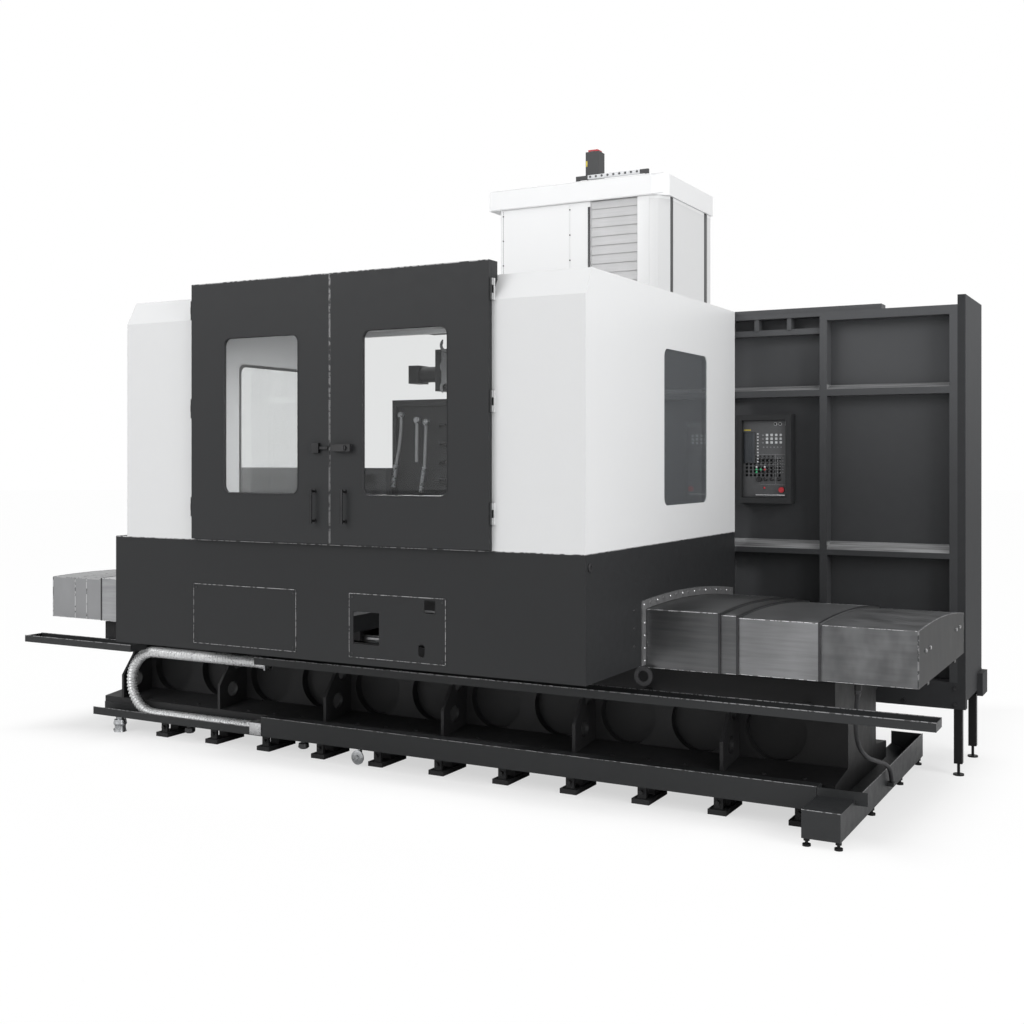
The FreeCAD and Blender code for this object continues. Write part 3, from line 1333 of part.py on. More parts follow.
def make_wall_frame():
    """Posts and beams of the tall right wall and of the low left wall, with the header slab."""
    def post_at(x0, x1, foot, top):
        return span(x0, x1, "wall_y", "wall_y + wall_deep", foot, top)
    tall = [
        post_at("900", "1010", "floor_top", "wall_top"),
        post_at("1587", "1697", "floor_top", "wall_top"),
        post_at("2680", "2737", "floor_top", "wall_top"),
        post_at("3660", "wall_end - end_wall_thick", "floor_top", "wall_top"),
        rail_beam("900", "wall_end - end_wall_thick", "high_beam", "high_beam + 50", "40"),
        rail_beam("900", "wall_end - end_wall_thick", "low_beam", "low_beam + 40", "63"),
        span("2680", "wall_end - end_wall_thick", "wall_y", "wall_y + wall_deep", "wall_top - 69",
             "wall_top"),
        span("900", "2690", "wall_y", "wall_y + wall_deep", "wall_top - 35", "wall_top"),
        span("1000", "2690", "wall_y + 20", "wall_y + wall_deep", "top_light", "top_light + 46"),
        span("2147", "2183", "wall_y + 10", "wall_y + wall_deep - 10", "top_light + 40", "wall_top - 30"),
        span("2415", "2449", "wall_y + 10", "wall_y + wall_deep - 10", "top_light + 40", "wall_top - 30"),
        post_at("-760", "-650", "rear_top", "wall_top"),
        span("-1000", "3156", "wall_y + 15", "wall_y + 155", "wall_top", "wall_top + 40"),
    ]
    low = [
        post_at("-wall_end", "post - wall_end", "floor_top", "low_top"),
        post_at("-2608", "post - 2608", "floor_top", "low_top"),
        post_at("-1550", "post - 1550", "floor_top", "low_top"),
        span("-wall_end", "post - 1550", "wall_y", "wall_y + wall_deep", "low_top - 60", "low_top"),
        rail_beam("-wall_end", "post - 1550", "low_beam", "low_beam + 40", "63"),
    ]
    return group(join(*tall), join(*low))


def make_wall_panels():
    """Sheets behind the posts of both walls."""
    back = "wall_y + wall_deep"
    return group(
        span("900", "wall_end - end_wall_thick", back, f"{back} + sheet", "floor_top", "wall_top"),
        span("-wall_end", "post - 1550", back, f"{back} + sheet", "floor_top", "low_top"),
    )


def make_end_wall():
    """Free-standing end of the right wall, boxed, with stiffening folds on its outer face."""
    inner = "wall_end - end_wall_thick"
    return span(inner, "wall_end", "wall_y", "end_wall_back", "floor_top", "end_wall_top")


def make_control_panel():
    """Operator panel on the wall: case, recessed face, screen frame, keys, collars and a key switch."""
    back = "wall_y + wall_deep"
    case = span("console_left", "console_right", "wall_y + 5", back, "console_low", "console_high")
    recess = span("console_left + 41", "console_right - 44", "wall_y + 4", "wall_y + 43",
                  "console_low + 44", "console_high - 44")
    button = rod("y", "2368", "wall_y + 42", "2128", "13", "20")
    dial = rod("y", "2180", "wall_y + 42", "2210", "8", "16")
    case = cut(case, recess, button, dial)
    solids = [case]
    face = "wall_y + 43"
    for row in range(5):
        for column in range(9):
            x = f"console_left + 66 + {column} * (key_pitch + 4)"
            z = f"console_low + 215 + {row} * key_pitch"
            solids.append(span(x, f"{x} + key", f"{face} - 4", face, z, f"{z} + key"))
    return join(*solids)


def make_emergency_stop():
    """Mushroom button with its stem."""
    head = rod("y", "2368", "wall_y + 12", "2128", "22", "16")
    stem = rod("y", "2368", "wall_y + 27", "2128", "12", "20")
    return join(head, stem)


def make_feed_dial():
    """Override dial with a pointer ridge and its shaft."""
    cap = rod("y", "2180", "wall_y + 18", "2210", "21", "22")
    ridge = span("2178", "2182", "wall_y + 14", "wall_y + 19", "2211", "2230")
    shaft = rod("y", "2180", "wall_y + 39", "2210", "7", "14")
    return join(cap, ridge, shaft)


# ---------------------------------------------------------------- tool changer

def make_changer_housing():
    """Tool changer box beside the wall opening, with coolant nozzles, and the magazine's stand."""
    box = span("-bay_left", "-bay_right", "bay_front", "bay_back", "rear_top", "bay_top")
    door = span("40 - bay_left", "-bay_right - 40", "bay_front - 1", "bay_front + 30", "rear_top + 300",
                "bay_top - 60")
    pieces = [cut(box, door)]
    for i in range(4):
        z = f"bay_top - 240 - {i} * 170"
        pieces.append(rod("y", "-bay_right - 130", "bay_front - 40", z, "14", "72"))
        pieces.append(rod("x", "-bay_right - 130", "bay_front - 26", z, "11", "70"))
    stand = [
        span("-disc_x - 110", "110 - disc_x", "bay_back + 5", "bay_back + 165", "floor_top",
             "disc_z + 110"),
        span("-disc_x - 260", "260 - disc_x", "bay_back - 35", "bay_back + 225", "floor_top",
             "floor_top + 30"),
        rod("y", "-disc_x", "bay_front + 30", "disc_z", "60", "bay_back - bay_front"),
    ]
    return group(join(*pieces), join(*stand))


def make_changer_drive():
    """Drive of the change arm: mast from the header slab, gear case, sideways motor."""
    y0, y1 = "(bay_front + 40)", "(bay_back - 45)"
    pieces = [
        span("-850", "-740", "wall_y + 155", y1, "3010", "wall_top + 40"),
        span("-985", "-740", y0, y1, "3010", "3400"),
        rod("x", "-1273", f"({y0} + {y1}) / 2", "3175", "74", "290"),
        span("-1290", "-1180", f"{y0} + 10", f"{y1} - 10", "3090", "3260"),
        rod("y", "-arm_x", f"{y0} - 9", "arm_z", "70", "11"),
    ]
    shaft = rod("y", "-arm_x", f"{y0} - 12", "arm_z", "36", "60")
    return cut(join(*pieces), shaft)


def make_change_arm():
    """Double gripper arm on its shaft."""
    y = "(bay_front + 20)"
    x = "(-arm_x)"
    pieces = [
        span(f"{x} - 45", f"{x} + 45", y, f"{y} + 9", "arm_z - arm_reach + 60", "arm_z + arm_reach - 60"),
        rod("y", x, y, "arm_z", "62", "9"),
        rod("y", x, y, "arm_z", "35", "55"),
    ]
    for sign in ("-", "+"):
        z = f"arm_z {sign} (arm_reach - 66)"
        pieces.append(rod("y", x, y, z, "62", "9"))
    tools = []
    for sign, low, high in (("-", "arm_z - arm_reach - 1", "arm_z - arm_reach + 66"),
                            ("+", "arm_z + arm_reach - 66", "arm_z + arm_reach + 1")):
        z = f"arm_z {sign} (arm_reach - 66)"
        tools.append(rod("y", x, f"{y} - 1", z, "36", "11"))
        tools.append(span(f"{x} - 30", f"{x} + 30", f"{y} - 1", f"{y} + 10", low, high))
    return cut(join(*pieces), *tools)


def make_magazine_disc():
    """Magazine disc with its tool pots round the rim."""
    y = "(bay_front + 40)"
    disc = rod("y", "-disc_x", y, "disc_z", "disc_radius - 60", "60")
    hub = rod("y", "-disc_x", y, "disc_z", "150", "160")
    pieces = [disc, hub]
    bores = [rod("y", "-disc_x", "bay_front", "disc_z", "61", "320")]
    count = int(number("pots"))
    for i in range(count):
        angle = 360 * i / count
        x = f"(disc_radius - 62) * cos({angle}deg) - disc_x"
        z = f"disc_z + (disc_radius - 62) * sin({angle}deg)"
        pieces.append(rod("y", x, f"{y} - 10", z, "60", "190"))
        bores.append(taper("y", x, f"{y} - 11", z, "36", "22", "120"))
    return cut(join(*pieces), *bores)


# ---------------------------------------------------------------- the whole machine

MAKERS = [
    ("x_bed", make_x_bed),
    ("z_bed", make_z_bed),
    ("guide_rails", make_guide_rails),
    ("ball_screws", make_ball_screws),
    ("machine_mounts", make_machine_mounts),
    ("cable_tray", make_cable_tray),
    ("coolant_trough", make_coolant_trough),
    ("trough_brackets", make_trough_brackets),
    ("end_trough", make_end_trough),
    ("levelling_legs", make_levelling_legs),
    ("drain_hose", make_drain_hose),
    ("end_covers", make_end_covers),
    ("rear_platform", make_rear_platform),
    ("wall_frame", make_wall_frame),
    ("wall_panels", make_wall_panels),
    ("end_wall", make_end_wall),
    ("control_panel", make_control_panel),
    ("emergency_stop", make_emergency_stop),
    ("feed_dial", make_feed_dial),
    ("changer_housing", make_changer_housing),
    ("changer_drive", make_changer_drive),
    ("change_arm", make_change_arm),
    ("magazine_disc", make_magazine_disc),
    ("saddle", make_saddle),
    ("saddle_covers", make_saddle_covers),
    ("skirt", make_skirt),
    ("skirt_panels", make_skirt_panels),
    ("cover_seals", make_cover_seals),
    ("enclosure_left", lambda: make_enclosure_side(-1)),
    ("enclosure_right", lambda: make_enclosure_side(1)),
    ("enclosure_roof", make_enclosure_roof),
    ("side_windows", make_side_windows),
    ("door_frame", make_door_frame),
    ("door_hinges", make_door_hinges),
    ("left_door", lambda: make_door(-1)),
    ("left_door_window", lambda: make_door_window(-1)),
    ("left_door_handle", make_left_handle),
    ("right_door", lambda: make_door(1)),
    ("right_door_window", lambda: make_door_window(1)),
    ("right_door_handle", lambda: grip("door_split + grip_offset")),
    ("interlock_switch", make_interlock_switch),
    ("release_knob", make_release_knob),
    ("conduit_hose", make_conduit_hose),
    ("hose_bracket", make_hose_bracket),
    ("rotary_table", make_rotary_table),
    ("right_cover_1", lambda: make_cover(1, "a", 0)),
    ("right_cover_2", lambda: make_cover(1, "b", 1)),
    ("right_cover_3", lambda: make_cover(1, "c", 2)),
    ("left_cover_1", lambda: make_cover(-1, "a", 0)),
    ("left_cover_2", lambda: make_cover(-1, "b", 1)),
    ("left_cover_3", lambda: make_cover(-1, "c", 2)),
    ("column", make_column),
    ("column_housing", make_column_housing),
    ("column_cap", make_column_cap),
    ("column_motor", make_column_motor),
    ("upper_way_cover", lambda: make_way_cover("spindle_z + ram_high + 2", "col_high - 2", 25)),
    ("lower_way_cover", lambda: make_way_cover("col_low", "spindle_z - ram_low - 2", 10)),
    ("headstock", make_headstock),
    ("spindle_sleeve", make_spindle_sleeve),
    ("boring_spindle", make_boring_spindle),
]

for name, maker in MAKERS:
    node(name, maker())
doc.recompute()

for thing in doc.Objects:
    trouble = [word for word in thing.State if word in ("Invalid", "Error")]
    if trouble:
        raise RuntimeError(f"{thing.Name} ({thing.Label}) failed: {trouble}")

whole = FreeCAD.BoundBox()
for name, thing in nodes.items():
    shape = thing.Shape
    if shape.isNull() or not shape.isValid():
        raise RuntimeError(f"{name} has no valid shape")
    box = shape.BoundBox
    whole.add(box)
    print(f"{name:20s} {len(shape.Solids):3d} solids  x {box.XMin:8.1f} {box.XMax:8.1f}"
          f"  y {box.YMin:8.1f} {box.YMax:8.1f}  z {box.ZMin:8.1f} {box.ZMax:8.1f}")
print(f"whole: x {whole.XMin:.1f} {whole.XMax:.1f}, y {whole.YMin:.1f} {whole.YMax:.1f}, z {whole.ZMin:.1f} {whole.ZMax:.1f}")

os.makedirs("parts", exist_ok=True)
for name, thing in nodes.items():
    thing.Shape.exportStep(f"parts/{name}.step")
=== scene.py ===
"""Looks of a large boring and milling machining centre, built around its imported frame.

Metres; X runs along the long bed, Y away from the operator, Z up. Depths are counted from the
skirt's front face, as in the frame's source.
"""

import math

import bmesh
import bpy
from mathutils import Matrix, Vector


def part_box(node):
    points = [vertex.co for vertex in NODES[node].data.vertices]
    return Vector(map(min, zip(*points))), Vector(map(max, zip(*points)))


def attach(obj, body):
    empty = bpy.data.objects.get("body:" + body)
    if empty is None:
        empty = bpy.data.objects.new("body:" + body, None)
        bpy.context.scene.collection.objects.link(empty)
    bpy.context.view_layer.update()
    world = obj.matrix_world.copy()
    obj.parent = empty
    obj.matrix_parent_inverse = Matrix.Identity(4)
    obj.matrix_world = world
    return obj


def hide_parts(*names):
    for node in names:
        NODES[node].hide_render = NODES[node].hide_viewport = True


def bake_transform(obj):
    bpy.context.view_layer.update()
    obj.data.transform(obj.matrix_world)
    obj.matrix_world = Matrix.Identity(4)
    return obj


bl_info = {
    "name": "Boring and milling centre",
    "version": (1, 0, 0),
    "blender": (4, 5, 0),
    "location": "3D View > Sidebar > Machine",
    "description": "Finishes and fine parts of a boring and milling machining centre",
    "category": "Object",
}

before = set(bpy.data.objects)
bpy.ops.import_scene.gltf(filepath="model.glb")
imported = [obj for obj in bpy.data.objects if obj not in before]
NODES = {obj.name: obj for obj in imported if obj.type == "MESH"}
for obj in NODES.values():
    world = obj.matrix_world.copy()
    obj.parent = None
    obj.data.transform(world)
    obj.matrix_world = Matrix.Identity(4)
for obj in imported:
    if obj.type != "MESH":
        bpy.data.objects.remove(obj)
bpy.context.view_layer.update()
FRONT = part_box("skirt")[0].y

WALL_FRONT = 2.845      # depth of the back wall's posts and of the platform's front
HOUSING_FRONT = 4.883   # depth of the column housing's front
TRAY_FLOOR = 0.131      # height under the cable tray
FORWARD = (0, -1, 0)    # towards the operator
UP = (0, 0, 1)
WHITE = (1.0, 1.0, 1.0, 1.0)


def at(x, depth, z):
    """Point from its distance behind the skirt's front face."""
    return Vector((x, FRONT + depth, z))


# ------------------------------------------------------------------ node trees

class NodeMaker:
    """Adds nodes to a tree: settings first, then the values or links of the sockets."""

    def __init__(self, tree):
        self.tree = tree

    def add(self, kind, settings=None, values=None):
        node = self.tree.nodes.new(kind)
        for name, value in (settings or {}).items():
            setattr(node, name, value)
        for key, value in (values or {}).items():
            self.feed(node.inputs[key], value)
        return node

    def feed(self, socket, value):
        """Link a varying value, a socket or a node's first output; set a plain value."""
        if isinstance(value, Value):
            value = value.socket
        elif isinstance(value, bpy.types.Node):
            value = value.outputs[0]
        if isinstance(value, bpy.types.NodeSocket):
            self.tree.links.new(value, socket)
        else:
            socket.default_value = value


class Value:
    """A number that varies over a surface, with ordinary arithmetic."""

    def __init__(self, shade, socket):
        self.shade = shade
        self.socket = socket

    def __add__(self, other):
        return self.shade.sum("ADD", self, other)

    __radd__ = __add__

    def __sub__(self, other):
        return self.shade.sum("SUBTRACT", self, other)

    def __rsub__(self, other):
        return self.shade.sum("SUBTRACT", other, self)

    def __mul__(self, other):
        return self.shade.sum("MULTIPLY", self, other)

    __rmul__ = __mul__

    def __abs__(self):
        return self.shade.sum("ABSOLUTE", self, 0.0)


class Shade(NodeMaker):
    """One material, with the few patterns that the finishes are made of."""

    def __init__(self, name):
        self.material = bpy.data.materials.new(name)
        self.material.use_nodes = True
        super().__init__(self.material.node_tree)
        self.tree.nodes.clear()
        self.place = self.add("ShaderNodeTexCoord").outputs["Object"]

    def sum(self, operation, first, second):
        node = self.add("ShaderNodeMath", {"operation": operation}, {0: first, 1: second})
        return Value(self, node.outputs[0])

    def noise(self, scale, detail=2.0, stretch=(1, 1, 1), rough=0.5):
        """Smooth noise from 0 to 1."""
        place = self.add("ShaderNodeMapping", None, {"Vector": self.place, "Scale": stretch})
        node = self.add("ShaderNodeTexNoise", None, {
            "Vector": place, "Scale": scale, "Detail": detail, "Roughness": rough})
        return Value(self, node.outputs[0])

    def step(self, value, low, high):
        """0 below low, 1 above high, smooth between; low above high turns it round."""
        ends = (1.0, 0.0) if low > high else (0.0, 1.0)
        low, high = sorted((low, high))
        node = self.add("ShaderNodeMapRange", {"interpolation_type": "SMOOTHSTEP"}, {
            "Value": value, "From Min": low, "From Max": high, "To Min": ends[0], "To Max": ends[1]})
        return Value(self, node.outputs[0])

    def part(self, axis):
        node = self.add("ShaderNodeSeparateXYZ", None, {0: self.place})
        return Value(self, node.outputs["XYZ".index(axis)])

    def band(self, axis, low, high):
        """1 between two places along an axis, 0 outside."""
        place = self.part(axis)
        soft = 0.0008
        return self.step(place, low - soft, low + soft) * self.step(place, high + soft, high - soft)

    def mix(self, share, first, second):
        """Colour between two others."""
        ends = [(*c, 1.0) if isinstance(c, tuple) else c for c in (first, second)]
        node = self.add("ShaderNodeMix", {"data_type": "RGBA"}, {0: share, 6: ends[0], 7: ends[1]})
        return node.outputs[2]

    def tones(self, share, colour, low, high):
        """The colour from one factor of it to another."""
        return self.mix(share, grey(colour, low), grey(colour, high))

    def bump(self, height, distance):
        return self.add("ShaderNodeBump", None, {"Height": height, "Distance": distance})

    def surface(self, values):
        node = self.add("ShaderNodeBsdfPrincipled", None, values)
        self.add("ShaderNodeOutputMaterial", None, {"Surface": node})
        return self.material

    def film(self, colour, rough, gloss, grain=0.0002, peel=160):
        """Paint film with a fine peel, grain deep."""
        return self.surface({
            "Base Color": colour,
            "Roughness": rough,
            "Specular IOR Level": gloss,
            "Normal": self.bump(self.noise(peel, 3), grain),
        })


def grey(colour, factor):
    """The colour made lighter or darker by a factor."""
    return tuple(min(1.0, c * factor) for c in colour)


def paint(name, colour, rough, mottle, grain=0.00025, gloss=0.3, worn=0.0):
    """Sprayed paint on sheet or casting: slow tone change, fine peel, sparse rubbed flecks."""
    s = Shade(name)
    close = s.noise(14, 4)
    base = s.tones(s.noise(0.8, 3) * 0.6 + close * 0.4, colour, 1 - mottle, 1 + mottle)
    if worn:
        flecks = s.step(s.noise(55, 5, rough=0.7), 0.66, 0.72) * s.step(s.noise(2.1, 2), 0.45, 0.65)
        base = s.mix(flecks * worn, base, grey(colour, 2.4))
    return s.film(base, s.step(close, 0.1, 0.9) * 0.12 + (rough - 0.06), gloss, grain)


def hinge_paint(name, wall, door):
    """Hinge plates painted with the wall they sit on, knuckles painted with the door."""
    s = Shade(name)
    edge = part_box("right_door")[1].x
    outer = s.step(abs(s.part("X")), edge - 0.0005, edge + 0.0005)
    return s.film(s.mix(outer, door, wall), s.noise(14, 4) * 0.12 + 0.42, 0.3)


def wall_tones(s, colour):
    """Mottling of the back wall's paint, and the colour that it gives."""
    cloud = s.noise(0.9, 3) * 0.5 + s.noise(11, 4) * 0.5
    return cloud, s.tones(cloud, colour, 0.85, 1.2)


def end_wall_paint(name, colour):
    """Flat paint of the end wall, more rubbed towards the top, where its outer face is also painted paler
    as painted light.
    """
    s = Shade(name)
    cloud, base = wall_tones(s, colour)
    # painted light: the end wall's outer face lightens towards the top, broken by the rubbed flecks
    pale = s.step(s.part("Z"), 1.7, 3.7) * s.step(s.part("X"), 3.765, 3.785)
    flecks = s.step(s.noise(55, 5, rough=0.7), 0.64, 0.72) * 0.5
    base = s.mix(pale * (flecks * 0.6 + 0.7), base, grey(colour, 2.3))
    return s.film(s.mix(flecks * 0.6, base, grey(colour, 2.4)), cloud * 0.12 + 0.54, 0.06)


def column_paint(name, colour):
    """White paint of the column's housing, greyer on its side plates as painted shade."""
    s = Shade(name)
    plate_top = 5.025
    # painted shade: the side plates are made greyer where less light falls on them
    side = s.step(s.part("X"), 0.25, 0.52) * s.step(s.part("Z"), plate_top + 0.005, plate_top)
    base = s.mix(side, s.tones(s.noise(0.8, 3), colour, 0.99, 1.01), grey(colour, 0.86))
    return s.film(base, s.noise(14, 4) * 0.12 + 0.34, 0.35, 0.00025)


def wall_paint(name, colour):
    """Wall paint, lighter towards the top as a painted sheen, with pale dust on the sloped tops of the
    beams.
    """
    s = Shade(name)
    cloud, base = wall_tones(s, colour)
    # painted light: a sheen that lightens the wall towards the top
    base = s.mix(s.step(s.part("Z"), 1.9, 3.5) * 0.6, base, grey(colour, 2.2))
    lower_slope, upper_slope, beam_depths = (1.666, 1.726), (2.924, 2.962), (-0.653, -0.527)
    ledges = s.band("Z", *lower_slope) + s.band("Z", *upper_slope)
    streaks = s.step(s.noise(1.0, 5, (1.3, 40, 40), 0.6), 0.36, 0.62)
    dust = ledges * s.band("Y", *beam_depths) * (streaks * 0.75 + 0.2)
    return s.film(s.mix(dust, base, (0.27, 0.272, 0.275)), cloud * 0.12 + 0.42, 0.16)


def motor_paint(name, colour, cap):
    """Dark motor body with a coloured cap."""
    s = Shade(name)
    cloud = s.noise(12, 4)
    cap_foot = 5.655
    top = s.step(s.part("Z"), cap_foot - 0.0002, cap_foot + 0.0002)
    base = s.mix(top, s.tones(cloud, colour, 0.8, 1.3), cap)
    return s.film(base, cloud * 0.1 + 0.35, 0.3, peel=120)


def edge_highlight_dashes(name, colour, bare):
    """Painted highlights along an edge: a strip with short bright dashes like bare steel."""
    s = Shade(name)
    dashes = s.step(s.noise(1.0, 3, (34, 34, 34), 0.6), 0.44, 0.50)
    return s.surface({
        "Base Color": s.mix(dashes, colour, bare),
        "Metallic": dashes * 0.5,
        "Roughness": 0.42,
    })


def casting(name, colour, worn=0.35):
    """Thick paint over a rough casting, with painted shade darkening it towards the bed's right end."""
    s = Shade(name)
    lumps = s.noise(9, 5, rough=0.6)
    base = s.tones(s.noise(1.1, 3) * 0.5 + lumps * 0.5, colour, 0.75, 1.3)
    rub = s.step(s.noise(38, 5, rough=0.7), 0.64, 0.7) * s.step(s.noise(1.7, 2), 0.42, 0.62)
    base = s.mix(rub * worn, base, grey(colour, 2.6))
    # painted shade: the bed's right end stands in deep shadow, so its colour is darkened here
    right_end_shade = s.step(s.part("X"), 2.2, 3.02) * 0.85
    return s.surface({
        "Base Color": s.mix(right_end_shade, base, grey(colour, 0.15)),
        "Roughness": lumps * 0.25 + 0.4,
        "Specular IOR Level": 0.25,
        "Normal": s.bump(lumps * 0.7 + s.noise(60, 4) * 0.3, 0.0016),
    })


def brushed(name, colour, along, rough=0.36, blotch=0.3, metal=0.9):
    """Bare brushed sheet: fine lines one way, slow blotches, and scratches across."""
    s = Shade(name)
    lines = s.noise(1.0, 6, along, 0.62)
    slow = s.noise(1.35, 3)
    patches = s.noise(1.0, 2, (3.1, 3.1, 1.9))
    scratch = s.step(s.noise(1.0, 4, (2.2, 2.2, 120)), 0.63, 0.7) * s.step(slow, 0.4, 0.6)
    share = s.step(slow * 0.45 + patches * 0.25 + lines * 0.3, 0.32, 0.68)
    base = s.tones(share, colour, 1 - blotch, 1 + blotch)
    return s.surface({
        "Base Color": s.mix(scratch * 0.35, base, grey(colour, 1.8)),
        "Metallic": metal,
        "Roughness": lines * 0.16 + slow * 0.14 + (rough - 0.15),
        "Normal": s.bump(lines, 0.0004),
    })


def end_box(name, colour):
    """Mottled sheet of the fixed cover boxes: paler on the left as painted light, less so on its top as
    painted shade, dark on end plates and stands.
    """
    s = Shade(name)
    cloud = s.noise(1.0, 3, (4, 4, 2.4), 0.55)
    lines = s.noise(1.0, 5, (2, 30, 30))
    base = s.tones(s.step(cloud * 0.8 + lines * 0.2, 0.34, 0.66), colour, 0.66, 1.2)
    # painted light: the left box is made paler where the light falls on it; its top keeps half of the
    # base colour as painted shade
    left = s.step(s.part("X"), 0.1, -0.1)
    inset = 3 * COVER_STEP
    crown = arch_height(COVER_FRONT + inset, inset)
    shaded = s.step(s.part("Z"), crown - 0.004, crown) * 0.5
    base = s.mix(left, base, s.mix(shaded, s.tones(cloud, colour, 1.7, 2.4), colour))
    near, far = END_PLATE - 0.0005, END_PLATE + 0.0005
    plate = s.step(s.part("X"), near, far) + s.step(s.part("X"), -near, -far)
    base = s.mix(plate, base, s.tones(cloud, colour, 0.10, 0.22))
    stand = s.step(s.part("Z"), COVER_FOOT - 0.001, COVER_FOOT - 0.003)
    return s.surface({
        "Base Color": s.mix(stand, base, (0.012, 0.012, 0.0125)),
        "Metallic": 0.85 - (left * 0.35 + plate * 0.5 + stand * 0.4),
        "Roughness": cloud * 0.2 + plate * 0.2 + 0.32,
        "Normal": s.bump(lines, 0.0003),
    })


def seal_steel(name, flange, ring):
    """Light flange of a cover seal with its dark lower ring."""
    s = Shade(name)
    stain = s.noise(16, 4)
    ring_top = 0.974
    lower = s.step(s.part("Z"), ring_top + 0.0005, ring_top - 0.0005)
    return s.surface({
        "Base Color": s.mix(lower, s.tones(stain, flange, 0.75, 1.2), ring),
        "Metallic": 0.7,
        "Roughness": stain * 0.2 + 0.35,
        "Normal": s.bump(stain, 0.0005),
    })


def zinc(name, colour, metal=0.95):
    """Galvanised steel with its crystal pattern."""
    s = Shade(name)
    cells = s.add("ShaderNodeTexVoronoi", None, {"Vector": s.place, "Scale": 70.0}).outputs["Color"]
    tone = Value(s, s.add("ShaderNodeSeparateColor", None, {0: cells}).outputs[0])
    stain = s.noise(7, 4)
    return s.surface({
        "Base Color": s.tones(tone * 0.5 + stain * 0.5, colour, 0.72, 1.2),
        "Metallic": metal,
        "Roughness": tone * 0.14 + stain * 0.16 + 0.18,
        "Normal": s.bump(stain, 0.0006),
    })


def rubber(name, colour):
    """Dull black rubber with a dry bloom."""
    s = Shade(name)
    bloom = s.noise(24, 4)
    return s.surface({
        "Base Color": s.mix(bloom, colour, grey(colour, 1.9)),
        "Roughness": bloom * 0.2 + 0.45,
        "Specular IOR Level": 0.35,
        "Normal": s.bump(s.noise(240, 2), 0.0003),
    })


def plastic(name, colour, rough=0.3, glow=0.0):
    """Moulded plastic, finely textured."""
    s = Shade(name)
    cloud = s.noise(40, 3)
    base = s.tones(cloud, colour, 0.88, 1.1)
    values = {
        "Base Color": base,
        "Roughness": cloud * 0.1 + (rough - 0.05),
        "Normal": s.bump(s.noise(500, 2), 0.0001),
    }
    if glow:
        values["Emission Color"] = base
        values["Emission Strength"] = glow
    return s.surface(values)


def pane(name, left, right, haze=0.0):
    """Safety glass with faint wiping marks; the panes left and right of the middle differ."""
    s = Shade(name)
    wiped = s.noise(1.0, 4, (2.5, 2.5, 9))
    return s.surface({
        "Base Color": s.mix(s.step(s.part("X"), -0.1, 0.1), left, right),
        "Transmission Weight": 1.0 - haze,
        "IOR": 1.32,
        "Roughness": s.step(wiped, 0.45, 0.75) * 0.03,
    })


# ------------------------------------------------------------------ settings

def shade_property(name, text, value):
    return bpy.props.FloatVectorProperty(
        name=name, description=text, subtype="COLOR", size=3, min=0.0, max=1.0, default=value)


def length_property(name, text, value):
    return bpy.props.FloatProperty(
        name=name, description=text, subtype="DISTANCE", unit="LENGTH", min=0.0, default=value)


def power_property(name, text, value):
    return bpy.props.FloatProperty(
        name=name, description=text, subtype="POWER", min=0.0, default=value)


class MachineFinishSettings(bpy.types.PropertyGroup):
    """Colours of the machine's finishes."""

    charcoal: shade_property("Charcoal", "Paint of the doors and the skirt", (0.0242, 0.0250, 0.0262))
    wall_grey: shade_property("Wall grey", "Paint of the back wall", (0.040, 0.041, 0.043))
    white: shade_property("White", "Paint of the enclosure", (0.64, 0.645, 0.65))
    column_white: shade_property("Column white", "Paint of the column", (0.78, 0.785, 0.79))
    black: shade_property("Black", "Paint of the beds and their brackets", (0.0225, 0.0225, 0.0235))
    trim: shade_property("Trough grey", "Paint of the trays and troughs", (0.020, 0.021, 0.022))
    steel: shade_property("Steel", "Bare sheet of the telescopic covers", (0.17, 0.172, 0.176))
    zinc: shade_property("Zinc", "Galvanised brackets and tray fittings", (0.42, 0.43, 0.44))
    slat: shade_property("Slat grey", "Slats of the column's opening", (0.41, 0.41, 0.415))
    machined: shade_property("Machined steel", "Table, spindle and rails", (0.38, 0.385, 0.39))
    glass: shade_property("Glass", "Tint of the front panes", (0.82, 0.83, 0.83))
    side_glass: shade_property("Side glass", "Tint of the right side pane", (0.46, 0.48, 0.50))
    red: shade_property("Red", "Stop button and motor cap", (0.42, 0.02, 0.03))


class MachineDetailSettings(bpy.types.PropertyGroup):
    """Sizes of the fine parts."""

    rivet: length_property("Rivet radius", "Radius of a rivet head on the seal frames", 0.0095)
    screw: length_property("Screw radius", "Radius of a sheet screw's head", 0.009)
    bolt: length_property("Bolt radius", "Radius of a bolt's head on the platform", 0.014)
    tube: length_property("Coolant tube radius", "Radius of a coolant tube at the tool changer", 0.015)
    hose_radius: length_property("Conduit radius", "Radius over the conduit's ribs", 0.046)
    hose_root: length_property("Conduit root", "Radius between the conduit's ribs", 0.0365)
    hose_ribs: bpy.props.IntProperty(
        name="Conduit ribs", description="Ribs along the conduit", min=10, default=116)
    gasket: length_property("Gasket width", "Width of the seal round a door window", 0.007)
    key: length_property("Key side", "Side of a key on the operator panel", 0.019)


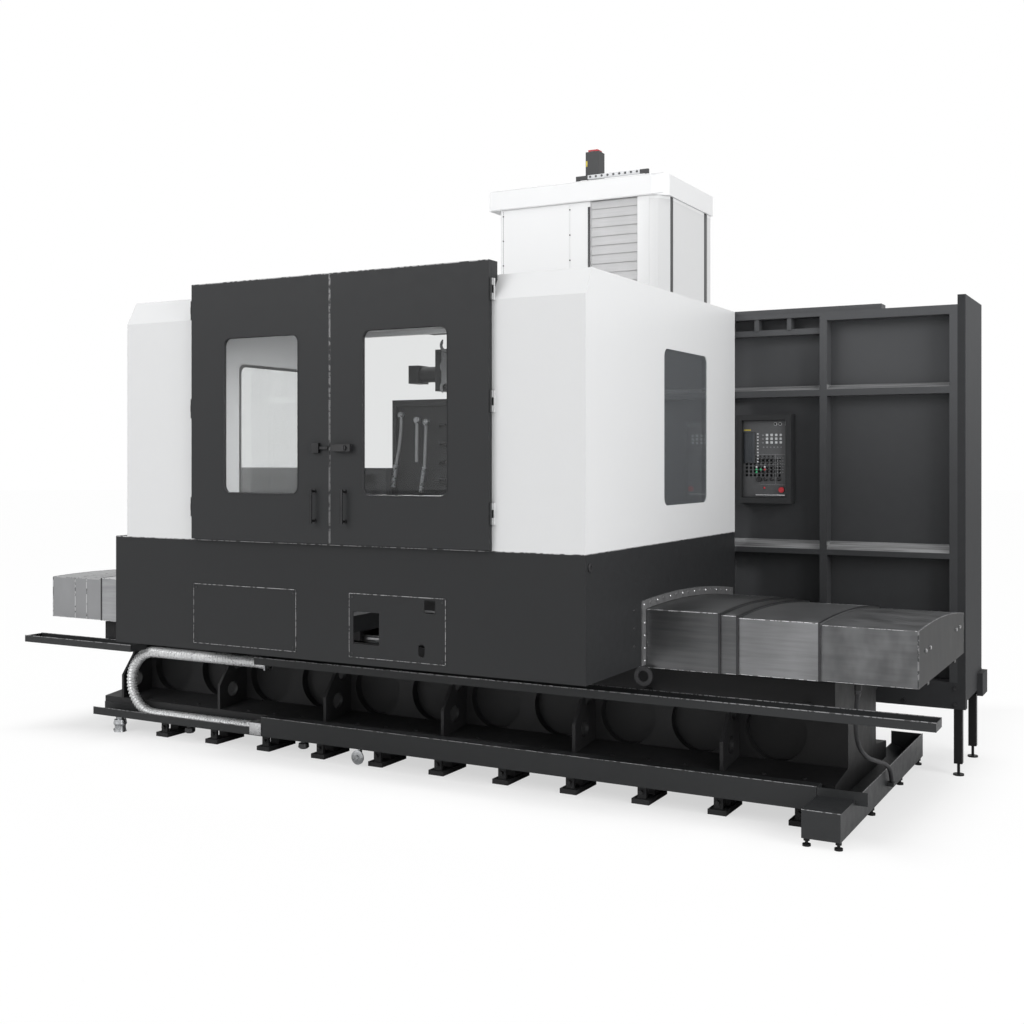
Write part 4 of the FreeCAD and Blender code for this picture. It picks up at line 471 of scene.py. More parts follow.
class MachineStageSettings(bpy.types.PropertyGroup):
    """Camera, lamps and floor."""

    lens: bpy.props.FloatProperty(
        name="Lens", description="Focal length", subtype="DISTANCE_CAMERA", min=1.0, default=44.4)
    camera_at: bpy.props.FloatVectorProperty(
        name="Camera place", description="Where the camera stands", subtype="XYZ", unit="LENGTH",
        size=3, default=(5.322, -10.550, 2.379))
    camera_turn: bpy.props.FloatProperty(
        name="Camera turn", description="Heading of the camera, from straight ahead",
        subtype="ANGLE", unit="ROTATION", default=0.4998)
    key_power: power_property("Key lamp", "Power of the large front lamp", 950.0)
    fill_power: power_property("Fill lamp", "Power of the lamp on the right", 1150.0)
    top_power: power_property("Top lamp", "Power of the lamp overhead", 1000.0)
    work_power: power_property("Work lamp", "Power of the lamp inside the enclosure", 80.0)
    sky: bpy.props.FloatProperty(
        name="Sky light", description="Even light from all round", min=0.0, default=0.5)


# ------------------------------------------------------------------ mesh helpers

FINISHES = {}


def new_piece(name, mesh, body):
    """Link a finished mesh as a piece that rides on a body."""
    piece = bpy.data.objects.new(name, mesh)
    bpy.context.scene.collection.objects.link(piece)
    if body:
        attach(piece, body)
    return piece


def close_piece(name, bm, material, body):
    """Turn a bmesh into a piece with outward faces."""
    bmesh.ops.recalc_face_normals(bm, faces=bm.faces)
    mesh = mesh_of(name, bm)
    mesh.materials.append(FINISHES[material])
    mesh.shade_smooth()
    mesh.set_sharp_from_angle(angle=math.radians(32))
    return new_piece(name, mesh, body)


def mesh_of(name, bm):
    """Mesh with a bmesh's content; the bmesh is freed."""
    mesh = bpy.data.meshes.new(name)
    bm.to_mesh(mesh)
    bm.free()
    return mesh


def add_block(bm, low, high, bevel, segments=2):
    """Block between two corners with its edges rounded."""
    low, high = Vector(low), Vector(high)
    size = high - low
    made = bmesh.ops.create_cube(bm, size=1.0)
    for vert in made["verts"]:
        vert.co = Vector([low[i] + (vert.co[i] + 0.5) * size[i] for i in range(3)])
    edges = {edge for vert in made["verts"] for edge in vert.link_edges}
    bmesh.ops.bevel(bm, geom=list(edges), offset=min(bevel, 0.49 * min(size)),
                    segments=segments, affect="EDGES", profile=0.5)


def skin(bm, rings, closed=False):
    """Faces from each ring of points to the next; an open run gets end faces."""
    for one, two in zip(rings, rings[1:] + (rings[:1] if closed else [])):
        for i in range(len(one)):
            j = (i + 1) % len(one)
            bm.faces.new((one[i], one[j], two[j], two[i]))
    if not closed:
        bm.faces.new(rings[0][::-1])
        bm.faces.new(rings[-1])


def circle(bm, centre, side, up, radius, sides):
    """Ring of points round a centre, in the plane of two directions."""
    turns = [2 * math.pi * i / sides for i in range(sides)]
    return [bm.verts.new(centre + radius * (math.cos(turn) * side + math.sin(turn) * up))
            for turn in turns]


def frames_along(points):
    """For each point of a path, two directions square to it that turn as little as possible."""
    points = [Vector(p) for p in points]
    last = len(points) - 1
    tangents = [(points[min(i + 1, last)] - points[max(i - 1, 0)]).normalized()
                for i in range(last + 1)]
    side = tangents[0].orthogonal().normalized()
    result = []
    for point, tangent in zip(points, tangents):
        side = (side - tangent * side.dot(tangent)).normalized()
        result.append((point, side, tangent.cross(side)))
    return result


def add_tube(bm, points, radius, sides=8):
    """Round bar along a path, with closed ends."""
    skin(bm, [circle(bm, *frame, radius, sides) for frame in frames_along(points)])


def add_turned(bm, centre, axis, profile, sides=20):
    """Turned shape: profile of (distance along the axis, radius), closed at both ends."""
    axis = Vector(axis).normalized()
    side = axis.orthogonal().normalized()
    up = axis.cross(side)
    skin(bm, [circle(bm, Vector(centre) + axis * along, side, up, radius, sides)
              for along, radius in profile])


def add_swept(bm, path, section, closed=False):
    """Flat-sided section of (side, up) points, swept along a path of (centre, side, up)."""
    skin(bm, [[bm.verts.new(centre + side * u + up * v) for u, v in section]
              for centre, side, up in path], closed)


def rounded_path(x0, x1, y, z0, z1, corner, facing, steps=6):
    """Path round an upright rectangle with round corners; its ups point along Y."""
    path = []
    for cx, cz, start in ((x1 - corner, z1 - corner, 0), (x0 + corner, z1 - corner, 90),
                          (x0 + corner, z0 + corner, 180), (x1 - corner, z0 + corner, 270)):
        for i in range(steps + 1):
            turn = math.radians(start + 90 * i / steps)
            across, up = math.cos(turn), math.sin(turn)
            path.append((Vector((cx + corner * across, y, cz + corner * up)),
                         Vector((across, 0, up)), Vector((0, facing, 0))))
    return path


def block_piece(name, material, body, blocks):
    """Piece of blocks, each with its low corner, its high corner and the rounding of its edges."""
    bm = bmesh.new()
    for low, high, bevel in blocks:
        add_block(bm, low, high, bevel)
    return close_piece(name, bm, material, body)


def tube_piece(name, material, body, radius, runs, sides=8):
    """Piece of round bars, each given by its path."""
    bm = bmesh.new()
    for run in runs:
        add_tube(bm, run, radius, sides)
    return close_piece(name, bm, material, body)


def turned_piece(name, material, body, centres, axis, profile, sides=20):
    """Piece of like turned shapes, one at each centre."""
    bm = bmesh.new()
    for centre in centres:
        add_turned(bm, centre, axis, profile, sides)
    return close_piece(name, bm, material, body)


def curve_of(name, kind, points):
    """Curve of one spline, POLY or NURBS, with the points of a path."""
    curve = bpy.data.curves.new(name, "CURVE")
    curve.dimensions = "3D"
    spline = curve.splines.new(kind)
    spline.points.add(len(points) - 1)
    for point, place in zip(spline.points, points):
        point.co = (*place, 1.0)
    return curve


def row(start, end, count):
    """Evenly spaced points between two ends, both included."""
    start, end = Vector(start), Vector(end)
    return [start.lerp(end, i / (count - 1)) for i in range(count)]


# ------------------------------------------------------------------ repeated parts

TREES = {}


def new_tree(name, inputs):
    """Geometry tree with named inputs; returns its maker and the sockets of the inputs."""
    tree = bpy.data.node_groups.new(name, "GeometryNodeTree")
    for label, kind in {"Geometry": "Geometry", **inputs, "Finish": "Material"}.items():
        tree.interface.new_socket(label, in_out="INPUT", socket_type=f"NodeSocket{kind}")
    tree.interface.new_socket("Geometry", in_out="OUTPUT", socket_type="NodeSocketGeometry")
    maker = NodeMaker(tree)
    return maker, maker.add("NodeGroupInput").outputs


def end_tree(maker, geometry, given):
    """Realize the instances, set the finish and hand the result out."""
    real = maker.add("GeometryNodeRealizeInstances", None, {"Geometry": geometry})
    done = maker.add("GeometryNodeSetMaterial", None, {"Geometry": real, "Material": given["Finish"]})
    maker.add("NodeGroupOutput", None, {0: done})
    return maker.tree


def repeated(maker, shape, count, axis, pitch):
    """Copies of a shape in a line along an axis."""
    step = maker.add("ShaderNodeCombineXYZ", None, {axis: pitch})
    line = maker.add("GeometryNodeMeshLine", None, {"Count": count, "Offset": step})
    return maker.add("GeometryNodeInstanceOnPoints", None, {"Points": line, "Instance": shape})


def heads_tree():
    """Screw or rivet heads on points that carry the direction they face."""
    maker, given = new_tree("Heads on points", {
        "Head radius": "Float", "Head height": "Float", "Sides": "Int", "Domed": "Bool"})
    dome = maker.add("GeometryNodeMeshUVSphere", None, {
        "Segments": given["Sides"], "Rings": 6, "Radius": 1.0})
    flat = maker.add("GeometryNodeMeshCylinder", None, {
        "Vertices": given["Sides"], "Radius": 1.0, "Depth": 2.0})
    pick = maker.add("GeometryNodeSwitch", {"input_type": "GEOMETRY"}, {
        "Switch": given["Domed"], "False": flat, "True": dome})
    facing = maker.add("GeometryNodeInputNamedAttribute", {"data_type": "FLOAT_VECTOR"}, {
        "Name": "facing"})
    turn = maker.add("FunctionNodeAlignRotationToVector", {"axis": "Z"}, {
        "Vector": facing.outputs["Attribute"]})
    size = maker.add("ShaderNodeCombineXYZ", None, {
        "X": given["Head radius"], "Y": given["Head radius"], "Z": given["Head height"]})
    placed = maker.add("GeometryNodeInstanceOnPoints", None, {
        "Points": given["Geometry"], "Instance": pick, "Rotation": turn, "Scale": size})
    return end_tree(maker, placed, given)


def slats_tree():
    """Slats one above the other: the drawn slat is repeated upwards."""
    maker, given = new_tree("Slats", {"Count": "Int", "Pitch": "Float"})
    slats = repeated(maker, given["Geometry"], given["Count"], "Z", given["Pitch"])
    return end_tree(maker, slats, given)


def keys_tree():
    """Rows of keys: the drawn key is repeated over a grid."""
    maker, given = new_tree("Key field", {
        "Columns": "Int", "Rows": "Int", "Pitch across": "Float", "Pitch up": "Float"})
    keys = repeated(maker, given["Geometry"], given["Columns"], "X", given["Pitch across"])
    return end_tree(maker, repeated(maker, keys, given["Rows"], "Z", given["Pitch up"]), given)


def ribbed_tree():
    """Ribbed conduit round a path: the radius swells once for each rib."""
    maker, given = new_tree("Ribbed conduit", {
        "Ribs": "Int", "Outer radius": "Float", "Root radius": "Float", "Sides": "Int"})

    def maths(operation, *numbers):
        return maker.add("ShaderNodeMath", {"operation": operation}, dict(enumerate(numbers)))

    points = maths("MULTIPLY", given["Ribs"], 6.0)
    even = maker.add("GeometryNodeResampleCurve", None, {
        "Curve": given["Geometry"], "Count": points})
    along = maker.add("GeometryNodeSplineParameter").outputs["Factor"]
    wave = maths("COSINE", maths("MULTIPLY", maths("MULTIPLY", along, given["Ribs"]), 2 * math.pi))
    radius = maker.add("ShaderNodeMapRange", None, {
        "Value": maths("MULTIPLY_ADD", wave, -0.5, 0.5),
        "To Min": given["Root radius"], "To Max": given["Outer radius"]})
    circle_line = maker.add("GeometryNodeCurvePrimitiveCircle", None, {
        "Resolution": given["Sides"], "Radius": 1.0})
    thick = maker.add("GeometryNodeSetCurveRadius", None, {"Curve": even, "Radius": radius})
    skinned = maker.add("GeometryNodeCurveToMesh", None, {
        "Curve": thick, "Profile Curve": circle_line, "Fill Caps": True})
    if "Scale" in skinned.inputs:
        maker.feed(skinned.inputs["Scale"], radius)
    return end_tree(maker, skinned, given)


def grow(tree, data, name, material, values):
    """Run a tree on a mesh or a curve and return the result as a plain mesh."""
    host = bpy.data.objects.new("host", data)
    bpy.context.scene.collection.objects.link(host)
    modifier = host.modifiers.new("Repeat", "NODES")
    modifier.node_group = TREES[tree]
    values = {**values, "Finish": FINISHES[material]}
    for item in TREES[tree].interface.items_tree:
        if item.in_out == "INPUT" and item.name in values:
            modifier[item.identifier] = values[item.name]
    graph = bpy.context.evaluated_depsgraph_get()
    mesh = bpy.data.meshes.new_from_object(host.evaluated_get(graph), depsgraph=graph)
    mesh.name = name
    host.modifiers.clear()
    bpy.data.objects.remove(host)
    return mesh


def heads(name, spots, body, radius, height, material, domed, sides):
    """One piece of heads; spots are (point, direction) pairs."""
    mesh = bpy.data.meshes.new(name)
    mesh.from_pydata([tuple(point) for point, way in spots], [], [])
    facing = mesh.attributes.new("facing", "FLOAT_VECTOR", "POINT")
    facing.data.foreach_set("vector", [value for point, way in spots for value in way])
    made = grow("heads", mesh, name, material, {
        "Head radius": radius, "Head height": height, "Sides": sides, "Domed": domed})
    made.shade_smooth()
    made.set_sharp_from_angle(angle=math.radians(40))
    return new_piece(name, made, body)


# ------------------------------------------------------------------ cover outline

CREST_DEPTH = 1.427
CREST_HEIGHT = 1.364
ARCH_RADIUS = 10.271
COVER_FRONT = 0.947
COVER_BACK = 2.700
COVER_FOOT = 0.954
COVER_STEP = 0.014
END_PLATE = 3.791       # distance of the fixed boxes' end plates from the middle


def arch_height(depth, inset):
    """Height of the covers' arched top at a depth."""
    radius = ARCH_RADIUS - inset
    return CREST_HEIGHT - ARCH_RADIUS + math.sqrt(radius ** 2 - (depth - CREST_DEPTH) ** 2)


def cover_path(x, inset):
    """Path round a cover box at one x, front foot to back foot; its ups point outwards."""
    steps = 14
    front, back = COVER_FRONT + inset, COVER_BACK - inset
    front_top, back_top = arch_height(front, inset), arch_height(back, inset)
    half = math.sqrt(0.5)
    outline = [(front, COVER_FOOT, -1, 0), (front, front_top - 0.02, -1, 0),
               (front, front_top, -half, half)]
    for i in range(1, steps):
        depth = front + (back - front) * i / steps
        outline.append((depth, arch_height(depth, inset), 0, 1))
    outline += [(back, back_top, half, half), (back, back_top - 0.02, 1, 0), (back, COVER_FOOT, 1, 0)]
    return [(at(x, depth, height), Vector((1, 0, 0)), Vector((0, out_y, out_z)))
            for depth, height, out_y, out_z in outline]


# ------------------------------------------------------------------ operators

class MachineOperator:
    """What all the operators share."""

    bl_options = {"REGISTER", "UNDO"}

    def execute(self, context):
        self.build(context.scene)
        return {"FINISHED"}


class MACHINE_OT_stage(MachineOperator, bpy.types.Operator):
    """Camera, lamps, world and floor"""

    bl_idname = "machine.stage"
    bl_label = "Stage"

    def build(self, scene):
        stage = scene.machine_stage
        self.camera(scene, stage)
        self.lamp("Key lamp", (-6.5, -14.0, 9.5), (0.0, -1.0, 2.2), (9.0, 7.0), stage.key_power)
        self.lamp("Fill lamp", (14.0, -6.0, 6.5), (1.0, -1.0, 2.2), (7.0, 7.0), stage.fill_power)
        self.lamp("Top lamp", (0.0, -1.0, 14.0), (0.0, -1.0, 0.0), (12.0, 10.0), stage.top_power)
        self.lamp("Work lamp", (0.0, -2.3, 3.46), (0.0, -2.0, 1.6), (0.76, 0.9), stage.work_power)
        self.world(scene, stage.sky)
        self.floor()
        scene.view_settings.view_transform = "Standard"

    def camera(self, scene, stage):
        data = bpy.data.cameras.new("Camera")
        data.lens = stage.lens
        data.sensor_width = 36.0
        data.shift_y = -0.0522
        data.clip_end = 400.0
        camera = bpy.data.objects.new("Camera", data)
        camera.location = stage.camera_at
        camera.rotation_euler = (math.pi / 2, 0.0, stage.camera_turn)
        scene.collection.objects.link(camera)
        bpy.context.scene.camera = camera

    def lamp(self, name, place, target, size, power):
        data = bpy.data.lights.new(name, "AREA")
        data.shape = "RECTANGLE"
        data.size, data.size_y = size
        data.energy = power
        lamp = bpy.data.objects.new(name, data)
        lamp.location = place
        lamp.rotation_euler = (Vector(target) - Vector(place)).to_track_quat("-Z", "Y").to_euler()
        bpy.context.scene.collection.objects.link(lamp)

    def world(self, scene, level):
        """Even light, seen as plain white by the camera and in metal and glass."""
        world = bpy.data.worlds.new("White studio")
        world.use_nodes = True
        maker = NodeMaker(world.node_tree)
        maker.tree.nodes.clear()
        path = maker.add("ShaderNodeLightPath").outputs
        seen = path["Is Camera Ray"]
        for name in ("Is Glossy Ray", "Is Transmission Ray"):
            seen = maker.add("ShaderNodeMath", {"operation": "MAXIMUM"}, {0: seen, 1: path[name]})
        light, white = [maker.add("ShaderNodeBackground", None, {"Color": WHITE, "Strength": strength})
                        for strength in (level, 1.0)]
        both = maker.add("ShaderNodeMixShader", None, {0: seen, 1: light, 2: white})
        maker.add("ShaderNodeOutputWorld", None, {"Surface": both})
        scene.world = world

    def floor(self):
        """White floor that keeps the machine's shadow and is plain white further out."""
        s = Shade("Studio floor")
        seen = Value(s, s.add("ShaderNodeLightPath").outputs["Is Camera Ray"])
        away = s.sum("MAXIMUM", abs(s.part("X")) - 3.5, abs(s.part("Y") + 0.3) - 2.25)
        share = (s.step(away, -0.1, 0.7) * 0.37 + 0.61) * seen
        diffuse = s.add("ShaderNodeBsdfDiffuse", None, {"Color": (0.82, 0.82, 0.82, 1.0)})
        white = s.add("ShaderNodeEmission", None, {"Color": WHITE, "Strength": 1.0})
        both = s.add("ShaderNodeMixShader", None, {0: share, 1: diffuse, 2: white})
        s.add("ShaderNodeOutputMaterial", None, {"Surface": both})
        bm = bmesh.new()
        bmesh.ops.create_circle(bm, cap_ends=True, radius=90.0, segments=96)
        mesh = mesh_of("Floor", bm)
        mesh.materials.append(s.material)
        floor = bpy.data.objects.new("Floor", mesh)
        bpy.context.scene.collection.objects.link(floor)


class MACHINE_OT_finishes(MachineOperator, bpy.types.Operator):
    """Make the finishes and put them on the frame's own parts"""

    bl_idname = "machine.finishes"
    bl_label = "Finishes"

    WORN = {
        "door paint": "left_door right_door door_frame",
        "hinge paint": "door_hinges",
        "skirt paint": "skirt skirt_panels",
        "white paint": "enclosure_left enclosure_right enclosure_roof",
        "column paint": "column_housing column_cap",
        "wall paint": "wall_frame wall_panels",
        "end wall paint": "end_wall rear_platform",
        "bed paint": "x_bed z_bed trough_brackets machine_mounts levelling_legs column saddle",
        "trough paint": "cable_tray coolant_trough end_trough",
        "cover steel": "right_cover_1 right_cover_2 saddle_covers",
        "cover steel light": "right_cover_3",
        # painted light: the left covers get a paler copy of the cover steel, as they stand lit from the
        # front left
        "cover steel pale": "left_cover_1 left_cover_2 left_cover_3",
        "end box": "end_covers",
        "flange steel": "cover_seals",
        "machined": "guide_rails rotary_table spindle_sleeve boring_spindle "
                    "change_arm magazine_disc",
        "box paint": "changer_housing changer_drive control_panel",
        "motor paint": "column_motor",
        "head paint": "headstock",
        "front glass": "left_door_window right_door_window",
        "side glass": "side_windows",
        "grip": "left_door_handle right_door_handle",
        "black plastic": "interlock_switch feed_dial",
        "red plastic": "emergency_stop",
        "dark steel": "release_knob ball_screws",
        "zinc": "hose_bracket conduit_hose",
        "rubber": "drain_hose",
        "slat": "upper_way_cover lower_way_cover",
    }

    def build(self, scene):
        c = {name: tuple(getattr(scene.machine_finish, name))
             for name in MachineFinishSettings.__annotations__}
        sheet = (2.0, 34, 34)
        FINISHES.update({
            "door paint": paint("Door paint", c["charcoal"], 0.5, 0.05, gloss=0.2),
            "hinge paint": hinge_paint("Hinge paint", c["white"], c["charcoal"]),
            "skirt paint": paint("Skirt paint", grey(c["charcoal"], 0.85), 0.48, 0.10,
                                 gloss=0.2, worn=0.25),
            "white paint": paint("White paint", c["white"], 0.4, 0.012, gloss=0.35),
            "column paint": column_paint("Column paint", c["column_white"]),
            "wall paint": wall_paint("Wall paint", c["wall_grey"]),
            "end wall paint": end_wall_paint("End wall paint", grey(c["wall_grey"], 0.8)),
            "motor paint": motor_paint("Motor paint", grey(c["charcoal"], 0.9), c["red"]),
            # painted highlights: a lighter edge strip with short bright dashes
            "paint highlight dashes": edge_highlight_dashes("Rubbed edge", grey(c["charcoal"], 1.4), (0.34, 0.34, 0.345)),
            "bed paint": casting("Bed paint", c["black"]),
            "trough paint": paint("Trough paint", c["trim"], 0.45, 0.2, 0.0006, worn=0.5),
            "cover steel": brushed("Cover steel", grey(c["steel"], 0.72), sheet),
            "cover steel light": brushed("Cover steel, light", grey(c["steel"], 1.25), sheet),
            # painted light: a paler copy of the cover steel for the lit left covers
            "cover steel pale": brushed("Cover steel, pale", grey(c["steel"], 1.9), sheet),
            "end box": end_box("End box steel", grey(c["steel"], 0.80)),
            "flange steel": seal_steel("Flange steel", (0.26, 0.26, 0.265), (0.045, 0.045, 0.047)),
            # painted highlights: hem and fold strips with short bright dashes
            "hem highlight dashes": edge_highlight_dashes("Hem steel", grey(c["trim"], 1.25), (0.20, 0.20, 0.205)),
            "steel highlight dashes": edge_highlight_dashes("Rubbed steel", grey(c["steel"], 0.7), (0.52, 0.52, 0.53)),
            "conduit zinc": zinc("Conduit zinc", (0.68, 0.685, 0.69), 0.45),
            "machined": brushed("Machined steel", c["machined"], (18, 240, 240), 0.3, 0.12),
            "slat": brushed("Slat steel", c["slat"], (3, 60, 60), 0.45, 0.14, 0.2),
            "box paint": paint("Box paint", grey(c["charcoal"], 0.9), 0.4, 0.15, worn=0.3),
            "head paint": casting("Headstock paint", (0.16, 0.165, 0.17), 0.2),
            "front glass": pane("Front glass", c["glass"], grey(c["glass"], 0.92)),
            "side glass": pane("Side glass", c["glass"], c["side_glass"], 0.12),
            "grip": brushed("Grip steel", (0.055, 0.055, 0.057), (60, 60, 4), 0.2),
            "bright": brushed("Bright steel", (0.55, 0.55, 0.56), (60, 60, 60), 0.3, 0.1),
            "dark steel": brushed("Dark steel", (0.05, 0.05, 0.052), (50, 50, 50), 0.38, 0.2),
            "black plastic": plastic("Black plastic", (0.012, 0.012, 0.013), 0.4),
            "grey plastic": plastic("Grey plastic", (0.20, 0.205, 0.21), 0.4),
            "pale plastic": plastic("Pale plastic", (0.55, 0.56, 0.57), 0.35),
            "green plastic": plastic("Green plastic", (0.02, 0.28, 0.11), 0.3, 0.3),
            # painted light: amber plastic glows, though the name strip and motor tag it covers are no
            # lamps
            "amber plastic": plastic("Amber plastic", (0.42, 0.33, 0.02), 0.3, 0.2),
            "red plastic": plastic("Red plastic", c["red"], 0.28),
            "panel grey": plastic("Panel grey", (0.075, 0.076, 0.079), 0.4),
            "screen": plastic("Screen", (0.03, 0.034, 0.04), 0.12),
            "zinc": zinc("Zinc", c["zinc"]),
            "rubber": rubber("Rubber", (0.010, 0.010, 0.011)),
        })
        bare = set(NODES)
        for name, nodes in self.WORN.items():
            for node in nodes.split():
                bare.discard(node)
                for material_slot in NODES[node].material_slots:
                    material_slot.material = FINISHES[name]
        if bare:
            raise RuntimeError(f"no finish for {sorted(bare)}")
        TREES.update(heads=heads_tree(), slats=slats_tree(), keys=keys_tree(), ribs=ribbed_tree())


class MACHINE_OT_drain_hose(MachineOperator, bpy.types.Operator):
    """Drain hose from the cover's end to the end trough"""

    bl_idname = "machine.drain_hose"
    bl_label = "Drain hose"

    ROUTE = [
        (3.405, -2.448, 0.905), (3.396, -2.456, 0.800), (3.390, -2.454, 0.670),
        (3.396, -2.410, 0.540), (3.414, -2.260, 0.440), (3.430, -2.040, 0.372),
        (3.440, -1.820, 0.310), (3.446, -1.670, 0.235), (3.440, -1.623, 0.140),
    ]

    def build(self, scene):
        data = curve_of("drain_hose_run", "NURBS", self.ROUTE)
        data.splines[0].order_u = 3
        data.splines[0].use_endpoint_u = True
        data.splines[0].resolution_u = 12
        data.bevel_depth = 0.015
        data.bevel_resolution = 5
        data.use_fill_caps = True
        data.materials.append(FINISHES["rubber"])
        hose = new_piece("drain_hose_run", data, "base")
        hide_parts("drain_hose")
        collar = turned_piece(
            "drain_hose_clip", "dark steel", "base", [self.ROUTE[0]],
            (-0.083, -0.073, -0.994),
            [(-0.003, 0.0165), (0.010, 0.0185), (0.012, 0.0205), (0.024, 0.0205), (0.026, 0.0185),
             (0.042, 0.0162)])


class MACHINE_OT_conduit(MachineOperator, bpy.types.Operator):
    """Ribbed conduit in a U from the tray to the saddle's bracket, with its nuts and clamps"""

    bl_idname = "machine.conduit"
    bl_label = "Conduit"

    DEPTH = 1.020
    LOW = 0.181
    HIGH = 0.713
    BEND = -2.590
    END = -1.361
    NUT = [(0.0, 0.0445), (0.004, 0.0470), (0.030, 0.0470), (0.034, 0.0455), (0.040, 0.0455),
           (0.044, 0.0470), (0.070, 0.0470), (0.074, 0.0445)]

    def build(self, scene):
        detail = scene.machine_detail
        conduit = new_piece("conduit_run", grow(
            "ribs", curve_of("conduit_path", "POLY", self.route()), "conduit_run", "conduit zinc", {
                "Ribs": detail.hose_ribs, "Outer radius": detail.hose_radius,
                "Root radius": detail.hose_root, "Sides": 24}), None)
        conduit.data.shade_smooth()
        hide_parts("conduit_hose")
        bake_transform(conduit)
        for name, height, body in (("conduit_nut_low", self.LOW, "base"),
                                   ("conduit_nut_high", self.HIGH, "saddle")):
            turned_piece(name, "conduit zinc", body,
                         [at(self.END - 0.075, self.DEPTH, height)], (1, 0, 0), self.NUT, 24)
        block_piece("conduit_clamp_low", "bright", "base", [
            (at(-1.480, 0.946, 0.2315), at(-1.3625, 1.055, 0.2375), 0.0015),
            (at(-1.480, 0.946, 0.136), at(-1.3625, 0.9515, 0.2375), 0.0015)])
        block_piece("conduit_clamp_high", "bright", "saddle", [
            (at(-1.372, 0.985, 0.7605), at(-1.300, 1.055, 0.7665), 0.0015),
            (at(-1.3595, 0.985, 0.700), at(-1.3545, 1.055, 0.7665), 0.0015)])

    def route(self):
        """Centre line: lower run, half circle, upper run."""
        reach = (self.HIGH - self.LOW) / 2
        middle = (self.HIGH + self.LOW) / 2
        steps = 24
        points = [at(self.END, self.DEPTH, self.LOW), at(self.BEND, self.DEPTH, self.LOW)]
        for i in range(1, steps):
            turn = math.pi * i / steps
            points.append(at(self.BEND - reach * math.sin(turn), self.DEPTH,
                             middle - reach * math.cos(turn)))
        return points + [at(self.BEND, self.DEPTH, self.HIGH), at(self.END, self.DEPTH, self.HIGH)]


class MACHINE_OT_way_covers(MachineOperator, bpy.types.Operator):
    """Slatted covers of the column's opening, above and below the headstock"""

    bl_idname = "machine.way_covers"
    bl_label = "Way covers"

    def build(self, scene):
        for node, count in (("upper_way_cover", 25), ("lower_way_cover", 10)):
            low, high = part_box(node)
            pitch = (high.z - low.z) / count
            face = low.y
            slats = grow("slats", self.slat(low, high, pitch), node + "_slats", "slat", {
                "Count": count, "Pitch": pitch})
            joined = bmesh.new()
            joined.from_mesh(slats)
            for vert in joined.verts:
                vert.co.z = min(vert.co.z, high.z)
            add_block(joined, (-high.x, face + 0.0078, low.z), high, 0.001, 1)
            joined.to_mesh(slats)
            joined.free()
            cover = new_piece(node + "_slats", slats, None)
            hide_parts(node)
            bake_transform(cover)

    def slat(self, low, high, pitch):
        """Lowest slat: folded foot, and a top edge that lies behind the next one."""
        face, foot = low.y, low.z
        section = [(face, foot + 0.012), (face + 0.0012, foot + 0.008), (face + 0.0060, foot + 0.008),
                   (face + 0.0076, foot + pitch + 0.012), (face + 0.0066, foot + pitch + 0.012),
                   (face + 0.0056, foot + pitch * 0.92), (face + 0.0010, foot + 0.030)]
        half = high.x - 0.004
        bm = bmesh.new()
        skin(bm, [[bm.verts.new((x, y, z)) for y, z in section] for x in (-half, half)])
        bmesh.ops.recalc_face_normals(bm, faces=bm.faces)
        return mesh_of("slat", bm)


